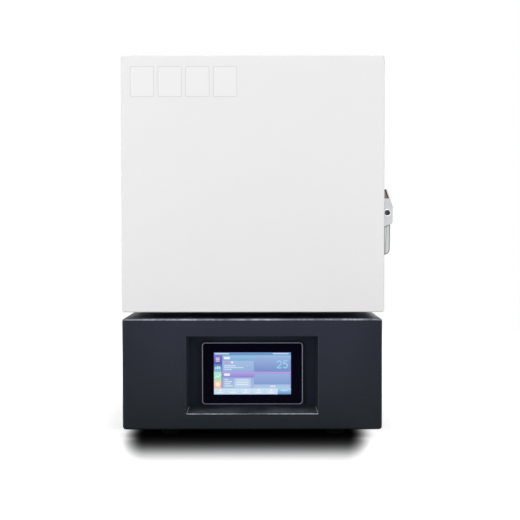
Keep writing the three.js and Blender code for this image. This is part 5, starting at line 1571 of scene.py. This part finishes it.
def door_plug():
    """The fibre core behind the door's skin, and the tapered plug that closes the chamber's mouth."""
    (x0, x1, z0, z1), (y0, y1) = front_of("door_insulation")
    root = door_box[1][1] - SHEET
    core = softened([(x0, z0), (x1, z0), (x1, z1), (x0, z1)], y0, root - 0.3, 1.5)
    tip = plug_box(PLUG_TAPER)
    edge = bend(PLUG_EDGE)[::-1]
    rows = [inset_loop(plug_box(0.0), 0, root - 6, PLUG_CORNER)]
    rows += [inset_loop(tip, inset, y1 - depth, PLUG_CORNER + PLUG_EDGE) for inset, depth in edge]
    return [core, loft(rows)]


def door_liner():
    """The liner: a shallow pan in the door's back, with a window that the plug comes through."""
    y1 = door_box[1][1]
    box, (y0, _) = front_of("door_liner")
    window = plug_box(-0.3)
    rows = [(box, 0, y0)]
    rows += [(box, inset, y1 - depth) for inset, depth in bend(LINER_BEND)[::-1]]
    rows += [(window, -0.6, y1), (window, 0, y1 - 0.6), (window, 0, y1 - SHEET)]
    rows += [(box, LINER_BEND, y1 - SHEET), (box, SHEET, y1 - LINER_BEND), (box, SHEET, y0)]
    return [loft([inset_loop(*row, LINER_CORNER) for row in rows], ring=True)]


def rope_ring():
    """The flat rope seal: a flattened round section carried round the chamber's mouth.

    The section's point is (sign(cos a) |cos a|^0.6, sign(sin a) |sin a|^0.75).
    """
    box, (y0, y1) = front_of("door_gasket")
    angles = angles_round(20)
    across = np.sign(np.cos(angles)) * np.abs(np.cos(angles)) ** 0.6
    out = np.sign(np.sin(angles)) * np.abs(np.sin(angles)) ** 0.75
    insets, depths = ROPE_HALF * (1 - across), (y0 + y1) / 2 + (y1 - y0) / 2 * out
    return [loft([inset_loop(box, inset, y, ROPE_CORNER) for inset, y in zip(insets, depths)], ring=True)]


def build_door():
    box, (y0, y1) = front_of("door_shell")
    pan = [folded_pan(box, y0 + CARD_SEAT, y1, DOOR_CORNER, DOOR_BEND)]
    replace("door_shell", "door_skin", pan, "door", SHEET_EDGE, FOLDED_CREASE)
    cards, lines = label_cards()
    dress("label_cards", cards, "door", "label_film")
    dress("label_lines", lines, "door", "label_line")
    replace("door_insulation", "fibre_plug", door_plug(), "door", crease=FOLDED_CREASE)
    replace("door_liner", "liner_pan", door_liner(), "door", crease=FOLDED_CREASE)
    replace("door_gasket", "rope_ring", rope_ring(), "door", crease=FOLDED_CREASE)
    (x0, x1, z0, z1), _ = front_of("door_liner")
    margin = LINER_SCREW_MARGIN
    places = [(x, z) for x in (x0 + margin, 0.0, x1 - margin) for z in (z0 + margin, z1 - margin)]
    places += [(x1 - margin, (z0 + z1) / 2)]
    dress("liner_screws", [screw(x, y1, z, "y", 1, 2.8, 0.9) for x, z in places], "door", "zinc_steel")


# Stage, lights and camera. The floor's lengths are metres, and each pair fades from its first to its second
FLOOR_REACH = 9.0
FLOOR_WHITE = (0.75, 1.6)
FLOOR_GREY = (0.9, 0.9, 0.9)
FLOOR_LIFT = (1.85, 1.85, 1.85)
# FLOOR_BOUNCE and BOUNCE_REACH paint shade into the light that the floor bounces; the SHADE values shape the
# painted shadow in front of the base, and the UNDER values the painted white beside it
FLOOR_BOUNCE = 0.1
BOUNCE_REACH = 0.4
SHADE_REACH = 0.161
SHADE_DEEP = 0.72
SHADE_FAINT = 0.18
SHADE_FAINT_REACH = (0.12, 0.26)
SHADE_BEHIND = (-0.3, -0.15)
SHADE_LEFT = 0.0165
SHADE_SIDE = (0.1998, 0.1557)
SHADE_NARROWING = 0.12
SHADE_WIDEST = -0.03
SHADE_POWER = 2.4
UNDER_BACK = (-0.08, -0.06)
UNDER_FRONT = (0.02, 0.0)
UNDER_SIDE = (0.25, 0.22)
WORLD_LIGHT = 0.45
PHOTO_SIDE = 520
PHOTO_FOCAL = 1000.0
SENSOR = 36.0
CAMERA_PLACE = (15.2, -1521.5, 314.6)
CAMERA_PITCH = 1.58
CAMERA_YAW = 0.115
CAMERA_ROLL = -0.087


def seen_share(tree):
    """1 for rays that the camera sees, also in a mirror or through glass, and 0 for rays that only light."""
    path = node(tree, "LightPath").outputs
    seen = maths(tree, "MAXIMUM", path["Is Camera Ray"], path["Is Glossy Ray"])
    return maths(tree, "MAXIMUM", seen, path["Is Transmission Ray"])


def floor_material():
    """A pale floor: to the camera it is lifted to white, and keeps the object's real shadow and a painted
    shadow; far away it is plain white.

    In front of the base a painted shadow darkens the floor in a band as wide as the base, by 1 - width x
    depth on screen.
    Both fall off as smooth steps, and the power turns screen shade into light. To rays that only light, the
    floor is painted dark at and behind the base's front and grows pale in front, a painted shade on the light
    it bounces. Beside that band the floor under the base's front edge is painted plain white, painted light
    over its real shadow, as in the photograph. Distances here are metres.
    """
    made, tree = empty_material("studio_floor")
    at = node(tree, "TexCoord").outputs["Object"]
    seen = seen_share(tree)
    across, along, _ = node(tree, "SeparateXYZ", {0: at}).outputs
    ahead = maths(tree, "SUBTRACT", float(ORIGIN[1]), along)
    # Painted shadow: a dark band on the floor in front of the base, as wide as the base.
    steep = stretch(tree, ahead, 0.0, SHADE_REACH, SHADE_DEEP, 0.0, "SMOOTHSTEP")
    faint = stretch(tree, ahead, *SHADE_FAINT_REACH, SHADE_FAINT, 0.0, "SMOOTHSTEP")
    fore = stretch(tree, ahead, *SHADE_BEHIND)
    depth = times(tree, fore, maths(tree, "ADD", steep, faint))
    sideways = maths(tree, "ABSOLUTE", maths(tree, "ADD", across, SHADE_LEFT))
    narrowed = times(tree, maths(tree, "MAXIMUM", ahead, SHADE_WIDEST), SHADE_NARROWING)
    width = stretch(tree, maths(tree, "ADD", sideways, narrowed), *SHADE_SIDE, kind="SMOOTHSTEP")
    shade, beside = (
        maths(tree, "POWER", maths(tree, "SUBTRACT", 1.0, dark), SHADE_POWER)
        for dark in (times(tree, width, depth), width)
    )
    # Painted shade: to rays that only light, the floor is dark at and behind the base's front and grows pale
    # in front, which dims the light it bounces onto the base.
    bounce = stretch(tree, times(tree, fore, ahead), 0.0, BOUNCE_REACH, FLOOR_BOUNCE, 1.0)
    level = node(tree, "Mix", {0: seen, 2: bounce, 3: shade}).outputs[0]
    pale = blend(tree, seen, FLOOR_GREY, FLOOR_LIFT)
    tint = node(tree, "VectorMath", {0: pale, "Scale": level}, operation="SCALE").outputs[0]
    lit = node(tree, "BsdfDiffuse", {"Color": tint}).outputs[0]
    white = node(tree, "Emission", {"Color": (1, 1, 1)}).outputs[0]
    # Painted light: just under the base's front edge, beside the shadow band, the floor is plain emission
    # white over its real shadow.
    under = times(tree, stretch(tree, ahead, *UNDER_BACK), stretch(tree, ahead, *UNDER_FRONT))
    close = times(tree, under, stretch(tree, sideways, *UNDER_SIDE))
    far = node(tree, "VectorMath", {0: at}, operation="LENGTH").outputs["Value"]
    clear = maths(tree, "MAXIMUM", stretch(tree, far, *FLOOR_WHITE), times(tree, beside, close))
    mixed = node(tree, "MixShader", {0: times(tree, clear, seen), 1: lit, 2: white}).outputs[0]
    node(tree, "OutputMaterial", {0: mixed})
    return made


def build_stage():
    """A flat floor at the feet and a world that is white to the camera and softer as light."""
    mesh = bpy.data.meshes.new("studio_floor")
    corners = [(a * FLOOR_REACH, b * FLOOR_REACH, 0) for a, b in ((-1, -1), (1, -1), (1, 1), (-1, 1))]
    mesh.from_pydata(corners, [], [(0, 1, 2, 3)])
    mesh.materials.append(floor_material())
    placed("studio_floor", mesh)
    world = bpy.data.worlds.new("studio_world")
    bpy.context.scene.world = world
    world.use_nodes = True
    tree = world.node_tree
    tree.nodes.clear()
    strength = stretch(tree, seen_share(tree), 0.0, 1.0, WORLD_LIGHT, 1.0)
    light = node(tree, "Background", {"Color": (1, 1, 1), "Strength": strength}).outputs[0]
    node(tree, "OutputWorld", {0: light})


def lamp(name, place, target, size, power):
    """A rectangular softbox at a place, turned to a target. Places and sizes are metres, power is watts."""
    data = bpy.data.lights.new(name, "AREA")
    data.shape = "RECTANGLE"
    data.size, data.size_y = size
    data.energy = power
    made = placed(name, data)
    made.location = place
    made.rotation_euler = (Vector(target) - Vector(place)).to_track_quat("-Z", "Y").to_euler()


def build_lights():
    lamp("overhead_softbox", (0.0, 0.3, 2.4), (0.0, 0.0, 0.3), (1.6, 1.2), 3.5)
    lamp("high_strip", (0.0, -0.68, 2.3), (0.0, -0.25, 0.2), (1.8, 0.35), 13.5)
    lamp("left_softbox", (-2.28, -2.04, 0.5), (0.0, -0.1, 0.3), (1.44, 1.68), 38.5)
    lamp("right_softbox", (2.52, -1.8, 0.5), (0.0, -0.1, 0.3), (1.2, 1.44), 29.0)
    lamp("rear_softbox", (0.5, 2.4, 1.5), (0.0, 0.1, 0.3), (1.4, 1.2), 14.0)


def build_camera():
    """The photograph's view: nearly level, in front of the door's lower half."""
    data = bpy.data.cameras.new("photo_camera")
    data.sensor_width = SENSOR
    data.lens = SENSOR * PHOTO_FOCAL / PHOTO_SIDE
    made = placed("photo_camera", data)
    made.location = Vector(np.array(CAMERA_PLACE) * MM + ORIGIN)
    turn = Matrix.Rotation(math.radians(CAMERA_YAW), 4, "Z")
    tilt = Matrix.Rotation(math.radians(90 - CAMERA_PITCH), 4, "X")
    roll = Matrix.Rotation(math.radians(CAMERA_ROLL), 4, "Z")
    made.rotation_euler = (turn @ tilt @ roll).to_euler()
    bpy.context.scene.camera = made


build_base()
build_display()
build_body()
hinge("lower")
hinge("upper")
build_door()
build_latch()
build_rear_fittings()
build_chamber()
dress_frame()
build_stage()
build_lights()
build_camera()
bpy.context.scene.view_settings.view_transform = "Standard"
